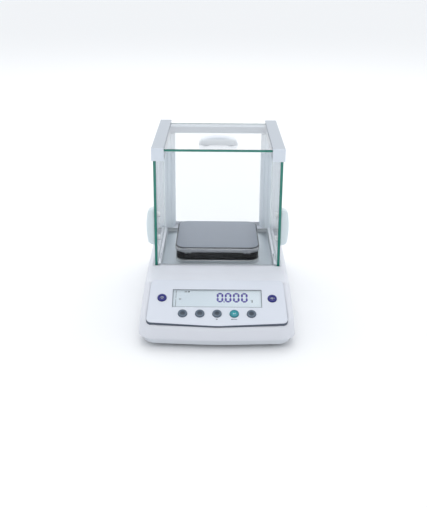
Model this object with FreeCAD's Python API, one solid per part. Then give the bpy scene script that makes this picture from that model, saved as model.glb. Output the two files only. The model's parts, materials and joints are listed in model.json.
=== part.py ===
"""Precision balance with a glass draught shield, as separate solids, one STEP file per node.

Millimetres. +Z is up, the front faces -Y, and the origin is the centre of the footprint on the bench.
"""
import FreeCAD, Part
import math
import os

V = FreeCAD.Vector

# ---------------------------------------------------------------- driving dimensions
HALF_DEPTH = 172.0          # housing, front apex to mid-plane
DECK_Z = 70.0               # flat top of the housing
HOUSING_BOTTOM_Z = 13.0     # lower rim of the upper housing
TRAY_BOTTOM_Z = 4.5         # underside of the base tray
HALF_WIDTH_BOTTOM = 108.25  # housing half width at its lower rim
HALF_WIDTH_DECK = 102.7     # housing half width at the deck
END_DRAFT = 2.0             # how far the front and back walls lean in, rim to deck
FRONT_BOW = 6.0             # the front comes to a soft point, this far ahead of its corners
WALL = 3.0                  # moulded wall
APEX_RADIUS = 400.0         # softens the front's point
APEX_LOSS = APEX_RADIUS * (math.hypot(1, FRONT_BOW / HALF_WIDTH_BOTTOM) - 1)

PAN_Y = 49.0                # the weighing axis lies behind the middle of the footprint
PAN_SIDE = 128.0
PAN_CORNER = 17.0
PAN_TOP_Z = DECK_Z + 19.8
RIM_BOTTOM_Z = DECK_Z + 12.0
SKIRT_BOTTOM_Z = DECK_Z + 0.3
FLOOR_Z = DECK_Z - 6.0      # top of the chamber floor, sunk in the deck
FLOOR_THICK = 1.2

PANEL_TILT = 26.0           # control panel slope, degrees
PANEL_TOP = V(0, -94.0, DECK_Z)
PANEL_RAISE = 2.2           # panel face above the sloped housing
PANEL_SKIN = 0.9
PANEL_TOP_HALF = 93.0       # half width at the panel's upper edge
PANEL_LOW_HALF = 96.6       # and at its lower corners
PANEL_CORNER_ROW = 76.4     # distance down the slope to the lower corners
PANEL_POINT_ROW = 82.3      # and to the soft point between them
PANEL_BORDER = 6.0          # land that the panel rests on
FRAME_DEPTH = 2.5
FRAME_LEDGE = 2.0           # dark frame showing past the panel's lower corners
FIT_GAP = 0.2               # clearance round parts that drop into place

SHIELD_FRONT_Y = -39.0
SHIELD_BACK_Y = 169.3
RAIL_OUTER = 95.0
RAIL_INNER = 77.0
RAIL_TOP_Z = DECK_Z + 177.0
RAIL_BOTTOM_Z = DECK_Z + 158.6
POST_FRONT_Y = 134.0
POST_INNER = 71.6
POST_OUTER = 88.2
BEAM_TOP_Z = DECK_Z + 170.5
WINDOW_TOP_Z = DECK_Z + 160.2

DOOR_IN = 88.7              # inner face of a side door
DOOR_GLASS = 4.0
DOOR_FRONT_Y = -35.8
DOOR_BACK_Y = 138.5
DOOR_BOTTOM_Z = DECK_Z - 3.2
DOOR_TOP_Z = RAIL_BOTTOM_Z + 3.0
TOP_GLASS_Z = DECK_Z + 172.0
PANE = 3.0                  # thickness of the fixed panes and the top door
TOP_GLASS_BACK_Y = 149.0
FRONT_PANE_Y = -35.5
SLIP = 0.3                  # gap beside each sliding pane

TRACK_IN = 84.2
TRACK_OUT = 94.3
HANDLE_LENGTH = 56.0
HANDLE_CREST = 44.0
HANDLE_DEPTH = 18.0
HANDLE_RISE = 13.0
HANDLE_SIDE_Y = -24.0       # middle of a side handle
HANDLE_SIDE_Z = DECK_Z + 57.2
HANDLE_TOP_Y = -2.0
HANDLE_SCREW_SPACING = 36.0
BOSS_RADIUS = 4.2
BOSS_HEIGHT = 4.2           # clear of the rear posts at the end of the doors' travel
TOP_BOSS_HEIGHT = 1.4       # low enough to pass over the beam

KEY_RADIUS = 6.4
KEY_PITCH = 23.6
KEY_ROW = 61.4              # distance down the slope from the panel's top edge
END_KEY_X = 76.6
END_KEY_ROW = 33.8
KEY_PROUD = 1.3
WINDOW_WIDTH = 124.0
WINDOW_LENGTH = 32.0
WINDOW_ROW = 33.7
LCD_BACK = -6.4             # panel axes: depth of the cell's back face
MAT_FACE = -6.6             # and of the key mat
MAT_BACK = -7.9

FRONT_FOOT = V(78, -135, 0)
REAR_FOOT = V(78, 138, 0)
CASE_SCREWS = [(90, -118), (90, 0), (90, 98)]
CELL_SCREWS = [(26, 72), (26, 142)]
BOARD_SCREWS = [(x, y) for x in (-91, -45) for y in (45, 110)]
SCREW_HEAD = 3.2
SCREW_SHANK = 1.45
SCREW_LENGTH = 12.0
CELL_SCREW_LENGTH = 6.5     # the cell's base is thin

CARRIER_HALF = 14.0
PIVOT_Y = PAN_Y + 17.0
PIVOT_Z = 42.0
COUPLING_Y = PIVOT_Y - 15.0
COIL_Y = PAN_Y + 70.0
CELL_BLOCK_Y = 141.0        # front face of the cell frame's rear block
CELL_BASE_Z = 9.2
HEAD_SEAT_Z = 7.2           # where the screw heads bear inside the tray
BOARD_Z = 26.0
BOARD_THICK = 1.6
SERIAL_X = -62.0
JACK_X = -89.0
LEVEL_Y = 160.0
FOOT_RADIUS = 9.0
FOOT_THREAD = 4.0
WHEEL_RADIUS = 14.5
WHEEL_NOTCHES = 24


# ---------------------------------------------------------------- small helpers
def block(x, y, z):
    """Box between the low and high value on each axis."""
    return Part.makeBox(x[1] - x[0], y[1] - y[0], z[1] - z[0], V(x[0], y[0], z[0]))


def rod(radius, start, end):
    """Cylinder from one point to another."""
    run = end - start
    return Part.makeCylinder(radius, run.Length, start, run)


def upright(radius, x, y, z):
    """Vertical cylinder between two heights."""
    return rod(radius, V(x, y, z[0]), V(x, y, z[1]))


def mirrored(shape):
    """The same shape on the other side of the middle plane."""
    return shape.mirror(V(0, 0, 0), V(1, 0, 0))


def joined(shapes):
    """One solid from several that touch or overlap."""
    return shapes[0].fuse(shapes[1:]).removeSplitter()


def outline(corners, radii, place):
    """Closed wire round a polygon whose corners are arcs; place turns (a, b) into a point in space."""
    count = len(corners)
    edges = []
    starts = []
    ends = []
    middles = []
    for i in range(count):
        here = V(*corners[i], 0)
        to_last = (V(*corners[i - 1], 0) - here).normalize()
        to_next = (V(*corners[(i + 1) % count], 0) - here).normalize()
        half = to_last.getAngle(to_next) / 2
        reach = radii[i] / math.tan(half)
        bisector = (to_last + to_next).normalize()
        centre = here + bisector * (radii[i] / math.sin(half))
        starts.append(here + to_last * reach)
        ends.append(here + to_next * reach)
        middles.append(centre - bisector * radii[i])
    for i in range(count):
        edges.append(Part.Arc(place(starts[i]), place(middles[i]), place(ends[i])).toShape())
        after = starts[(i + 1) % count]
        edges.append(Part.LineSegment(place(ends[i]), place(after)).toShape())
    return Part.Wire(edges)


def slab(corners, radii, z):
    """Flat plate with rounded corners between two heights."""
    wire = outline(corners, radii, lambda p: V(p.x, p.y, z[0]))
    return Part.Face(wire).extrude(V(0, 0, z[1] - z[0]))


def square_slab(side, corner, z):
    """Rounded square plate centred on the weighing axis."""
    h = side / 2
    corners = [(-h, PAN_Y - h), (h, PAN_Y - h), (h, PAN_Y + h), (-h, PAN_Y + h)]
    return slab(corners, [corner] * 4, z)


def on_panel(shape):
    """Moves a shape from panel axes (X across, Y up the slope, Z out of it) to its place."""
    placed = shape.copy()
    placed.rotate(V(0, 0, 0), V(1, 0, 0), PANEL_TILT)
    placed.translate(PANEL_TOP)
    return placed


def save(name, shape):
    shape.exportStep("parts/" + name + ".step")


def save_pair(name, shape):
    """A part and its mirror image, as right_ and left_ nodes."""
    save("right_" + name, shape)
    save("left_" + name, mirrored(shape))


# ---------------------------------------------------------------- housing
def plan_wire(z, inset):
    """Outline of the housing at a height: straight sides, round corners and a softly pointed front."""
    rise = (z - HOUSING_BOTTOM_Z) / (DECK_Z - HOUSING_BOTTOM_Z)
    half = HALF_WIDTH_BOTTOM + (HALF_WIDTH_DECK - HALF_WIDTH_BOTTOM) * rise - inset
    end = HALF_DEPTH - END_DRAFT * rise - inset
    back = end - APEX_LOSS
    corners = [(-half, FRONT_BOW - end), (0, -end), (half, FRONT_BOW - end), (half, back), (-half, back)]
    radii = [24 - inset, APEX_RADIUS, 24 - inset, 14 - inset, 14 - inset]
    return outline(corners, radii, lambda p: V(p.x, p.y, z))


def side_view(drop):
    """Prism with the housing's side view: deck, shallow step, shoulder and sloped front."""
    slope = math.tan(math.radians(PANEL_TILT))
    sunk = (PANEL_RAISE + drop) / math.cos(math.radians(PANEL_TILT))
    shoulder_z = DECK_Z - 2.0 - drop
    crease_y = PANEL_TOP.y - (DECK_Z - sunk - shoulder_z) / slope
    far = HALF_DEPTH + 30
    far_z = DECK_Z - sunk - slope * (far + PANEL_TOP.y)
    corners = [(far, -20), (far, DECK_Z - drop), (-43, DECK_Z - drop), (-63, shoulder_z),
               (crease_y, shoulder_z), (-far, far_z), (-far, -20)]
    wire = outline(corners, [2, 2, 40, 40, 14, 2, 2], lambda p: V(-150, p.x, p.y))
    return Part.Face(wire).extrude(V(300, 0, 0))


def housing_block(inset, z_low):
    """Solid inside the housing's skin, drawn in by inset."""
    loft = Part.makeLoft([plan_wire(z_low, inset), plan_wire(DECK_Z, inset)], True, True)
    return loft.common(side_view(inset))


def top_edges(shape):
    """Edges where the top of the housing meets its walls."""
    chosen = []
    for edge in shape.Edges:
        centre = edge.CenterOfMass
        box = edge.BoundBox
        upright_edge = box.ZLength > 25 and box.YLength < 30
        on_rim = abs(centre.x) > 85 or centre.y > 160 or centre.y < -160
        if centre.z > 20 and on_rim and not upright_edge:
            chosen.append(edge)
    return chosen


def panel_outline(grow, z, ledge=0.0):
    """Plate in panel axes with the control panel's outline, grown all round, and by ledge at the front."""
    top = PANEL_TOP_HALF + grow
    low = PANEL_LOW_HALF + grow
    corner_y = -PANEL_CORNER_ROW - grow - ledge
    point_y = -PANEL_POINT_ROW - grow - ledge / 2
    corners = [(-top, grow), (-low, corner_y), (0, point_y), (low, corner_y), (top, grow)]
    return slab(corners, [8, 7, 160, 7, 8], z)


def key_places():
    """Name, x and distance down the slope of each key."""
    names = ["mode_key", "left_arrow_key", "print_key", "enter_key", "calibrate_key"]
    row = [(name, (i - 2) * KEY_PITCH, KEY_ROW) for i, name in enumerate(names)]
    return [("power_key", -END_KEY_X, END_KEY_ROW), ("tare_key", END_KEY_X, END_KEY_ROW)] + row


def tray_plan(inset, z):
    """Plate with the base tray's outline."""
    half = 100.5 - inset
    end = 167.0 - inset
    corners = [(-half, FRONT_BOW - end), (0, -end), (half, FRONT_BOW - end), (half, end), (-half, end)]
    return slab(corners, [19 - inset, APEX_RADIUS, 19 - inset, 12 - inset, 12 - inset], z)


def upper_housing():
    """Moulded housing with its screw bosses, panel bed, chamber recess, track troughs and connector bay."""
    skin = housing_block(0, HOUSING_BOTTOM_Z)
    skin = skin.makeFillet(7.0, top_edges(skin))
    hollow = housing_block(WALL, HOUSING_BOTTOM_Z + WALL)
    hollow = hollow.cut(block((-101, 101), (-45, 200), (DECK_Z - 10.2, DECK_Z + 5)))
    shell = skin.cut(hollow)
    shell = shell.cut(tray_plan(-0.25, (HOUSING_BOTTOM_Z - 1, HOUSING_BOTTOM_Z + WALL + 1)))
    bosses = []
    for x, y in CASE_SCREWS:
        for side in (-1, 1):
            bosses.append(upright(4.5, side * x, y, (9.2, DECK_Z)))
    inside = skin.fuse(block((-99, 99), (-150, 150), (9, 14)))
    shell = joined([shell] + [boss.common(inside) for boss in bosses])
    for x, y in CASE_SCREWS:
        for side in (-1, 1):
            shell = shell.cut(upright(1.5, side * x, y, (9, 22)))
    floor_y = (SHIELD_FRONT_Y + 7.1, POST_FRONT_Y)
    shell = shell.cut(block((-TRACK_IN, TRACK_IN), floor_y, (FLOOR_Z - FLOOR_THICK, DECK_Z + 5)))
    trough = block((TRACK_IN, TRACK_OUT), (SHIELD_FRONT_Y, 200), (FLOOR_Z, DECK_Z + 5))
    shell = shell.cut(trough).cut(mirrored(trough))
    pane_y = (FRONT_PANE_Y - FIT_GAP, FRONT_PANE_Y + PANE + FIT_GAP)
    slot = block((-TRACK_IN, TRACK_IN), pane_y, (DECK_Z - 2, DECK_Z + 5))
    shell = shell.cut(slot)
    shell = shell.cut(upright(13, 0, PAN_Y, (50, DECK_Z)))
    shell = shell.cut(upright(5.7, 0, LEVEL_Y, (DECK_Z - 5, DECK_Z + 5)))
    shell = shell.cut(on_panel(panel_outline(FIT_GAP, (-PANEL_SKIN - FRAME_DEPTH, 20), FRAME_LEDGE)))
    shell = shell.cut(on_panel(panel_outline(-PANEL_BORDER, (-14, 0))))
    shell = shell.cut(block((-97.5, -38.5), (160, 180), (20.5, 43.5)))
    return joined([shell, connector_bay(), rear_sill()])


def base_tray():
    """Lower tray with seats for the cell and board, pockets for the wheels and the weigh-below opening."""
    floor = TRAY_BOTTOM_Z + 2.5
    tray = tray_plan(0, (TRAY_BOTTOM_Z, 20)).cut(tray_plan(2.5, (floor, 25)))
    pads = [upright(3.2, x, y, (floor - 1, BOARD_Z)) for x, y in BOARD_SCREWS]
    pads.append(upright(1.25, 15, PAN_Y, (2.7, floor)).fuse(upright(2.6, 15, PAN_Y, (1.4, 2.7))))
    for x, y in CASE_SCREWS + CELL_SCREWS:
        pads += [upright(6, side * x, y, (floor - 1, CELL_BASE_Z)) for side in (-1, 1)]
    pockets = [upright(19.5, side * REAR_FOOT.x, REAR_FOOT.y, (TRAY_BOTTOM_Z, 17.5)) for side in (-1, 1)]
    glands = [upright(7, side * REAR_FOOT.x, REAR_FOOT.y, (16, 32)) for side in (-1, 1)]
    tray = joined([tray] + pads + pockets + glands)
    for side in (-1, 1):
        x = side * REAR_FOOT.x
        tray = tray.cut(upright(17, x, REAR_FOOT.y, (0, 15)))
        tray = tray.cut(upright(FOOT_THREAD + 0.05, x, REAR_FOOT.y, (0, 40)))
        opening = block((86, 120), (REAR_FOOT.y - 11, REAR_FOOT.y + 11), (0, 12))
        tray = tray.cut(opening if side > 0 else mirrored(opening))
        tray = tray.cut(upright(3.05, side * FRONT_FOOT.x, FRONT_FOOT.y, (0, floor)))
        for px, py in CASE_SCREWS + CELL_SCREWS:
            tray = tray.cut(upright(1.8, side * px, py, (0, 12)))
            tray = tray.cut(upright(3.5, side * px, py, (0, HEAD_SEAT_Z)))
    for x, y in BOARD_SCREWS:
        tray = tray.cut(upright(SCREW_SHANK + 0.05, x, y, (13, 30)))
    tray = tray.cut(block((-99.5, -36.5), (160, 170), (18.7, 21)))
    return tray.cut(upright(8, 0, PAN_Y, (0, 12)))


# ---------------------------------------------------------------- control panel
def panel_cuts(gap, z):
    """Openings for the window and keys, in panel axes."""
    half_x = WINDOW_WIDTH / 2 + gap
    half_y = WINDOW_LENGTH / 2 + gap
    cuts = [block((-half_x, half_x), (-WINDOW_ROW - half_y, -WINDOW_ROW + half_y), z)]
    cuts += [upright(KEY_RADIUS + gap, x, -row, z) for name, x, row in key_places()]
    return cuts


def control_panel():
    return on_panel(panel_outline(0, (-PANEL_SKIN, 0)).cut(panel_cuts(0.2, (-5, 5))))


def panel_frame():
    """Dark frame under the panel's skin; it shows as a line along the front edge."""
    plate = panel_outline(0, (-PANEL_SKIN - FRAME_DEPTH, -PANEL_SKIN), FRAME_LEDGE)
    return on_panel(plate.cut(panel_cuts(0.4, (-5, 5))))


def display_window():
    half_x = WINDOW_WIDTH / 2
    half_y = WINDOW_LENGTH / 2
    return on_panel(block((-half_x, half_x), (-WINDOW_ROW - half_y, -WINDOW_ROW + half_y), (-1.8, -0.1)))


def lcd_module():
    """Liquid crystal cell that fills the window from behind."""
    half_x = WINDOW_WIDTH / 2 - FIT_GAP
    half_y = WINDOW_LENGTH / 2 - FIT_GAP
    return on_panel(block((-half_x, half_x), (-WINDOW_ROW - half_y, -WINDOW_ROW + half_y), (LCD_BACK, -1.9)))


def display_board():
    """Circuit board behind the panel, with the light guide that backs the cell."""
    plate = block((-84, 84), (-73, -14), (MAT_BACK - 1.7, MAT_BACK - 0.1))
    guide_plate = block((-58, 58), (-WINDOW_ROW - 13, -WINDOW_ROW + 13), (MAT_BACK - 0.1, LCD_BACK))
    return on_panel(plate.fuse(guide_plate))


def keypad_mat():
    """Rubber mat under the keys, with a soft stop under each one."""
    mat_z = (MAT_BACK, MAT_FACE)
    strips = [block((-58, 58), (-KEY_ROW - 8.6, -KEY_ROW + 9.4), mat_z)]
    for side in (-1, 1):
        x = side * END_KEY_X
        strips.append(block((x - 8, x + 8), (-END_KEY_ROW - 9, -END_KEY_ROW + 9), mat_z))
    pips = [upright(2.2, x, -row, (MAT_FACE, MAT_FACE + 0.7)) for name, x, row in key_places()]
    return on_panel(Part.makeCompound([strip.fuse([p for p in pips if strip.distToShape(p)[0] < 0.01])
                                       for strip in strips]))


def key(x, row):
    """Button with a domed top and a skirt that keeps it in the panel."""
    stem = upright(KEY_RADIUS, x, -row, (-3.5, KEY_PROUD))
    stem = stem.makeFillet(0.9, [e for e in stem.Edges if abs(e.CenterOfMass.z - KEY_PROUD) < 0.01])
    skirt = upright(KEY_RADIUS + 1.1, x, -row, (-4.6, -3.5))
    return on_panel(stem.fuse(skirt).removeSplitter())


# ---------------------------------------------------------------- weighing side
def chamber_floor():
    """Steel tray sunk in the deck, with a collar round the opening for the pan's stem."""
    y = (SHIELD_FRONT_Y + 7.3, POST_FRONT_Y - 0.2)
    x = (0.2 - TRACK_IN, TRACK_IN - 0.2)
    sheet = block(x, y, (FLOOR_Z - FLOOR_THICK, DECK_Z - 0.3))
    inner_x = (x[0] + 1, x[1] - 1)
    inner_y = (y[0] + 1, y[1] - 1)
    sheet = sheet.cut(block(inner_x, inner_y, (FLOOR_Z, DECK_Z)))
    collar = upright(12.5, 0, PAN_Y, (FLOOR_Z, FLOOR_Z + 2.5))
    return sheet.fuse(collar).cut(upright(11.5, 0, PAN_Y, (50, 80)))


def draught_ring():
    """Ring on the chamber floor that the pan's skirt turns above."""
    z = (FLOOR_Z, DECK_Z - 0.4)
    return square_slab(PAN_SIDE - 0.4, PAN_CORNER, z).cut(square_slab(PAN_SIDE - 3.0, PAN_CORNER - 1.3, z))


def pan():
    """Square stainless pan with a folded rim and small lugs on the rim's lower edge."""
    shell = square_slab(PAN_SIDE, PAN_CORNER, (RIM_BOTTOM_Z, PAN_TOP_Z))
    shell = shell.makeFillet(2.4, [e for e in shell.Edges if abs(e.CenterOfMass.z - PAN_TOP_Z) < 0.01])
    hollow = square_slab(PAN_SIDE - 2.4, PAN_CORNER - 1.2, (RIM_BOTTOM_Z - 1, PAN_TOP_Z - 1.2))
    shell = shell.cut(hollow)
    lug_z = RIM_BOTTOM_Z + 0.4
    lugs = []
    for end in (-1, 1):
        y = PAN_Y + end * PAN_SIDE / 2
        lugs += [rod(2.0, V(x, y - end * 1.1, lug_z), V(x, y, lug_z)) for x in (-47.5, -41.5, 41.5, 47.5)]
    return joined([shell] + lugs)


def pan_support():
    """Black carrier under the pan: skirt, web and the hub that sits on the cone."""
    skirt = square_slab(PAN_SIDE - 2.6, PAN_CORNER - 1.3, (SKIRT_BOTTOM_Z, RIM_BOTTOM_Z + 4.2))
    inside = square_slab(PAN_SIDE - 7.0, PAN_CORNER - 3.5, (SKIRT_BOTTOM_Z - 1, RIM_BOTTOM_Z + 1.8))
    skirt = skirt.cut(inside)
    hub = upright(9, 0, PAN_Y, (SKIRT_BOTTOM_Z + 1.5, RIM_BOTTOM_Z + 2))
    socket = upright(5.05, 0, PAN_Y, (0, RIM_BOTTOM_Z + 0.1))
    return skirt.fuse(hub).removeSplitter().cut(socket)


def pan_pads():
    """Four rubber studs that carry the pan."""
    z = (RIM_BOTTOM_Z + 4.2, PAN_TOP_Z - 1.2)
    return Part.makeCompound([upright(5, x, PAN_Y + y, z) for x in (-46, 46) for y in (-46, 46)])


def pan_shaft():
    """Stem between the load carrier and the pan hub."""
    stem = upright(5, 0, PAN_Y, (48, RIM_BOTTOM_Z - 3))
    tip = Part.makeCone(5, 3, 3, V(0, PAN_Y, RIM_BOTTOM_Z - 3))
    collar = upright(8, 0, PAN_Y, (54, 56))
    return joined([stem, tip, collar])


def load_carrier():
    """Hanger with the pan's stem above it and the eye for weighing below the balance."""
    y = (PAN_Y - 9, PAN_Y + 9)
    body = block((-CARRIER_HALF, CARRIER_HALF), y, (14, 48))
    slot = block((-6, 6), (COUPLING_Y - 4, y[1] + 1), (35, 45.4))
    body = body.cut(slot).cut(block((-8, 8), (y[0] - 1, y[1] + 1), (20, 35)))
    eye = upright(2.6, 0, PAN_Y, (8.5, 14)).cut(rod(1.2, V(-5, PAN_Y, 10.6), V(5, PAN_Y, 10.6)))
    return joined([body, eye, pan_shaft()])


def cell_frame():
    """Cast frame: base plate, two side walls, rear block and the two posts of the fulcrum."""
    back = 150
    base = block((-34, 34), (62, back), (CELL_BASE_Z, 14))
    walls = [block((side * 30 - 4, side * 30 + 4), (62, back), (14, 50)) for side in (-1, 1)]
    rear = block((-34, 34), (CELL_BLOCK_Y, back), (14, 50))
    fulcrum = [block((side * 10.5 - 2.5, side * 10.5 + 2.5), (PIVOT_Y - 3, PIVOT_Y + 3), (14, 30))
               for side in (-1, 1)]
    frame = joined([base] + walls + [rear] + fulcrum)
    for x, y in CELL_SCREWS:
        for side in (-1, 1):
            frame = frame.cut(upright(SCREW_SHANK + 0.05, side * x, y, (0, 20)))
    return frame


def guide(z):
    """Thin parallel guide from the cast frame to the load carrier, slimmed at its four bends."""
    plate = block((-25.5, 25.5), (PAN_Y + 9.4, CELL_BLOCK_Y), z)
    plate = plate.cut(block((-19, 19), (62, CELL_BLOCK_Y - 3), (z[0] - 1, z[1] + 1)))
    for bend_y in (64, CELL_BLOCK_Y - 5):
        groove = block((-40, 40), (bend_y - 1, bend_y + 1), (z[0] - 1, z[0] + 0.6))
        plate = plate.cut(groove)
    return plate


def parallel_guides():
    return Part.makeCompound([guide((48.6, 50.0)), guide((14.4, 15.6))])


def lever():
    """Balance beam of the cell: cross axis on the fulcrum, seat for the coil and vane for the sensor."""
    beam = block((-4, 4), (COUPLING_Y + 0.6, COIL_Y + 13), (PIVOT_Z - 3, PIVOT_Z + 3))
    cross = block((-13, 13), (PIVOT_Y - 3, PIVOT_Y + 3), (PIVOT_Z - 3, PIVOT_Z + 3))
    seat = upright(12, 0, COIL_Y, (PIVOT_Z - 3, PIVOT_Z))
    vane = block((-0.5, 0.5), (COIL_Y + 12, COIL_Y + 19), (PIVOT_Z - 3, PIVOT_Z + 3))
    return joined([beam, cross, seat, vane])


def pivot_strips():
    """Spring strips that the lever tilts on."""
    strips = [block((side * 10.5 - 2, side * 10.5 + 2), (PIVOT_Y - 0.15, PIVOT_Y + 0.15), (30, PIVOT_Z - 3.2))
              for side in (-1, 1)]
    return Part.makeCompound(strips)


def coupling_strip():
    """Thin strip from the carrier to the lever's short arm."""
    return block((-3, 3), (COUPLING_Y - 0.1, COUPLING_Y + 0.2), (20, 45.4))


def coil():
    tube = upright(12, 0, COIL_Y, (24, PIVOT_Z - 3))
    return tube.cut(upright(10, 0, COIL_Y, (20, PIVOT_Z - 3)))


def magnet_pot():
    """Soft iron cup round the magnet."""
    pot = upright(18, 0, COIL_Y, (14, 35))
    return pot.cut(upright(14, 0, COIL_Y, (18, 36)))


def magnet():
    return upright(8, 0, COIL_Y, (18, 34))


def position_sensor():
    """Slotted light barrier that watches the vane on the lever's end."""
    body = block((-8, 8), (COIL_Y + 18.3, CELL_BLOCK_Y), (30, 48))
    return body.cut(block((-2.5, 2.5), (COIL_Y + 10, COIL_Y + 20.4), (35, 50)))


# ---------------------------------------------------------------- electronics
def main_board():
    """Board with its soldered parts: processor, converter can, relay and two capacitors."""
    top = BOARD_Z + BOARD_THICK
    board = block((-95, -41), (40, 158), (BOARD_Z, top))
    for x, y in BOARD_SCREWS:
        board = board.cut(upright(1.8, x, y, (0, 40)))
    board = board.cut(upright(9, -REAR_FOOT.x, REAR_FOOT.y, (0, 40))).cut(upright(6, -90, 98, (0, 40)))
    chips = [block((-86, -66), (60, 80), (top, top + 2)), block((-60, -50), (56, 76), (top, top + 6)),
             block((-84, -64), (88, 104), (top, top + 8))]
    chips += [upright(4, -56, 90 + 12 * i, (top, top + 11)) for i in range(2)]
    chips.append(block((-77, -59), (46, 52), (top, top + 4)))
    return joined([board] + chips)


def connector_bay():
    """Five-sided recess in the back wall that the sockets open into."""
    z = (19, 45)
    bay = block((-99, -37), (160.4, 168.4), z)
    bay = bay.cut(block((-97.5, -38.5), (161.9, 170), (20.5, 43.5)))
    bay = bay.cut(block((-76.5, -47.5), (155, 165), (BOARD_Z + 2.2, BOARD_Z + 13.8)))
    return bay.cut(block((-94.5, -83.5), (155, 165), (BOARD_Z + 1.8, BOARD_Z + 13.2)))


def serial_port():
    """Nine-pin D socket: body on the board, flange and D-shaped shell."""
    mid = SERIAL_X
    z0 = BOARD_Z + 2.0
    body = block((mid - 10, mid + 10), (146, 163), (z0 + 0.5, z0 + 11.5))
    flange = block((mid - 14.3, mid + 14.3), (161.9, 163.0), (z0 + 0.4, z0 + 11.6))
    face = [(mid - 8.4, z0 + 10.1), (mid + 8.4, z0 + 10.1), (mid + 7.2, z0 + 2.0), (mid - 7.2, z0 + 2.0)]
    wire = outline(face, [1.5] * 4, lambda p: V(p.x, 163.0, p.y))
    hood = Part.Face(wire).extrude(V(0, 5.0, 0))
    face_in = [(mid - 7.7, z0 + 9.5), (mid + 7.7, z0 + 9.5), (mid + 6.6, z0 + 2.6), (mid - 6.6, z0 + 2.6)]
    hole = Part.Face(outline(face_in, [1.2] * 4, lambda p: V(p.x, 163.4, p.y))).extrude(V(0, 8.0, 0))
    port = joined([body, flange, hood]).cut(hole)
    for row, count in ((7.6, 5), (4.6, 4)):
        for i in range(count):
            x = mid + (i - (count - 1) / 2) * 2.77
            port = port.fuse(rod(0.5, V(x, 163.0, z0 + row), V(x, 167.4, z0 + row)))
    return joined([port] + lock_posts())


def lock_posts():
    """Two hexagon posts that lock a serial plug."""
    posts = []
    for side in (-1, 1):
        centre = V(SERIAL_X + side * 12.5, 163.0, BOARD_Z + 8)
        points = [centre + V(2.6 * math.cos(a), 0, 2.6 * math.sin(a))
                  for a in [math.radians(60 * i) for i in range(7)]]
        head = Part.Face(Part.makePolygon(points)).extrude(V(0, 4.5, 0))
        head = head.cut(rod(1.2, V(centre.x, 164, centre.z), V(centre.x, 170, centre.z)))
        posts.append(head.fuse(rod(1.4, V(centre.x, 160.5, centre.z), centre)))
    return posts


def dc_jack():
    """Barrel inlet for the power supply, with its centre pin."""
    mid = V(JACK_X, 160, BOARD_Z + 7.5)
    body = block((mid.x - 5, mid.x + 5), (148, 163.5), (BOARD_Z + 2.2, BOARD_Z + 12.8))
    nose = rod(4.6, V(mid.x, 163.5, mid.z), V(mid.x, 166.5, mid.z))
    jack = body.fuse(nose).cut(rod(2.9, V(mid.x, 152, mid.z), V(mid.x, 170, mid.z)))
    return jack.fuse(rod(1.0, V(mid.x, 151, mid.z), V(mid.x, 165.5, mid.z)))


def display_ribbon():
    """Flat cable from the display board back to the main board, in straight runs and tangent bends."""
    path = [(-106.0, 53.1), (-92, 22.0), (30, 22.0), (37, 28.2), (45.6, 28.2)]
    points = [V(-68, y, z) for y, z in path]
    runs = []
    for i in range(len(points) - 1):
        run = points[i + 1] - points[i]
        strip = Part.makeBox(16, run.Length + 0.4, 0.6, V(-8, -0.2, -0.3))
        strip.rotate(V(0, 0, 0), V(1, 0, 0), math.degrees(math.atan2(run.z, run.y)))
        strip.translate(points[i])
        runs.append(strip)
    return joined(runs)


# ---------------------------------------------------------------- draught shield
def rear_post():
    """Rear upright with two shallow flutes in front, a bevelled inner edge and the slot for the glass."""
    post = block((POST_INNER, POST_OUTER), (POST_FRONT_Y, SHIELD_BACK_Y), (DECK_Z, RAIL_BOTTOM_Z))
    start = V(POST_INNER - 1, POST_FRONT_Y - 1, 0)
    triangle = Part.makePolygon([start, start + V(6, 0, 0), start + V(0, 14, 0), start])
    post = post.cut(Part.Face(triangle).extrude(V(0, 0, 400)))
    for x in (77.2, 82.8):
        flute = block((x - 0.5, x + 0.5), (POST_FRONT_Y - 1, POST_FRONT_Y + 0.9), (DECK_Z + 1.5, 400))
        post = post.cut(flute)
    return post.cut(back_glass_box(0.2))


def rear_beam():
    """Crossbar between the rails, over the posts and the back glass."""
    beam = block((-RAIL_INNER, RAIL_INNER), (POST_FRONT_Y - 1.5, SHIELD_BACK_Y), (RAIL_BOTTOM_Z, BEAM_TOP_Z))
    beam = beam.cut(block((-POST_INNER, POST_INNER), (0, 200), (0, WINDOW_TOP_Z)))
    return beam.cut(back_glass_box(0.2))


def rear_sill():
    """Strip on the deck that the back glass stands in."""
    sill = block((0.2 - POST_INNER, POST_INNER - 0.2), (149, 154), (DECK_Z, DECK_Z + 5))
    return sill.cut(back_glass_box(0.2))


def back_glass_box(grow):
    """The back pane, or with grow the slot that holds it."""
    x = POST_INNER + 2.4 + grow
    y = (150.0 - grow, 150.0 + PANE + grow)
    return block((-x, x), y, (DECK_Z + 2 - grow, WINDOW_TOP_Z + 3 + grow))


def back_glass():
    return back_glass_box(0)


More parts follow.
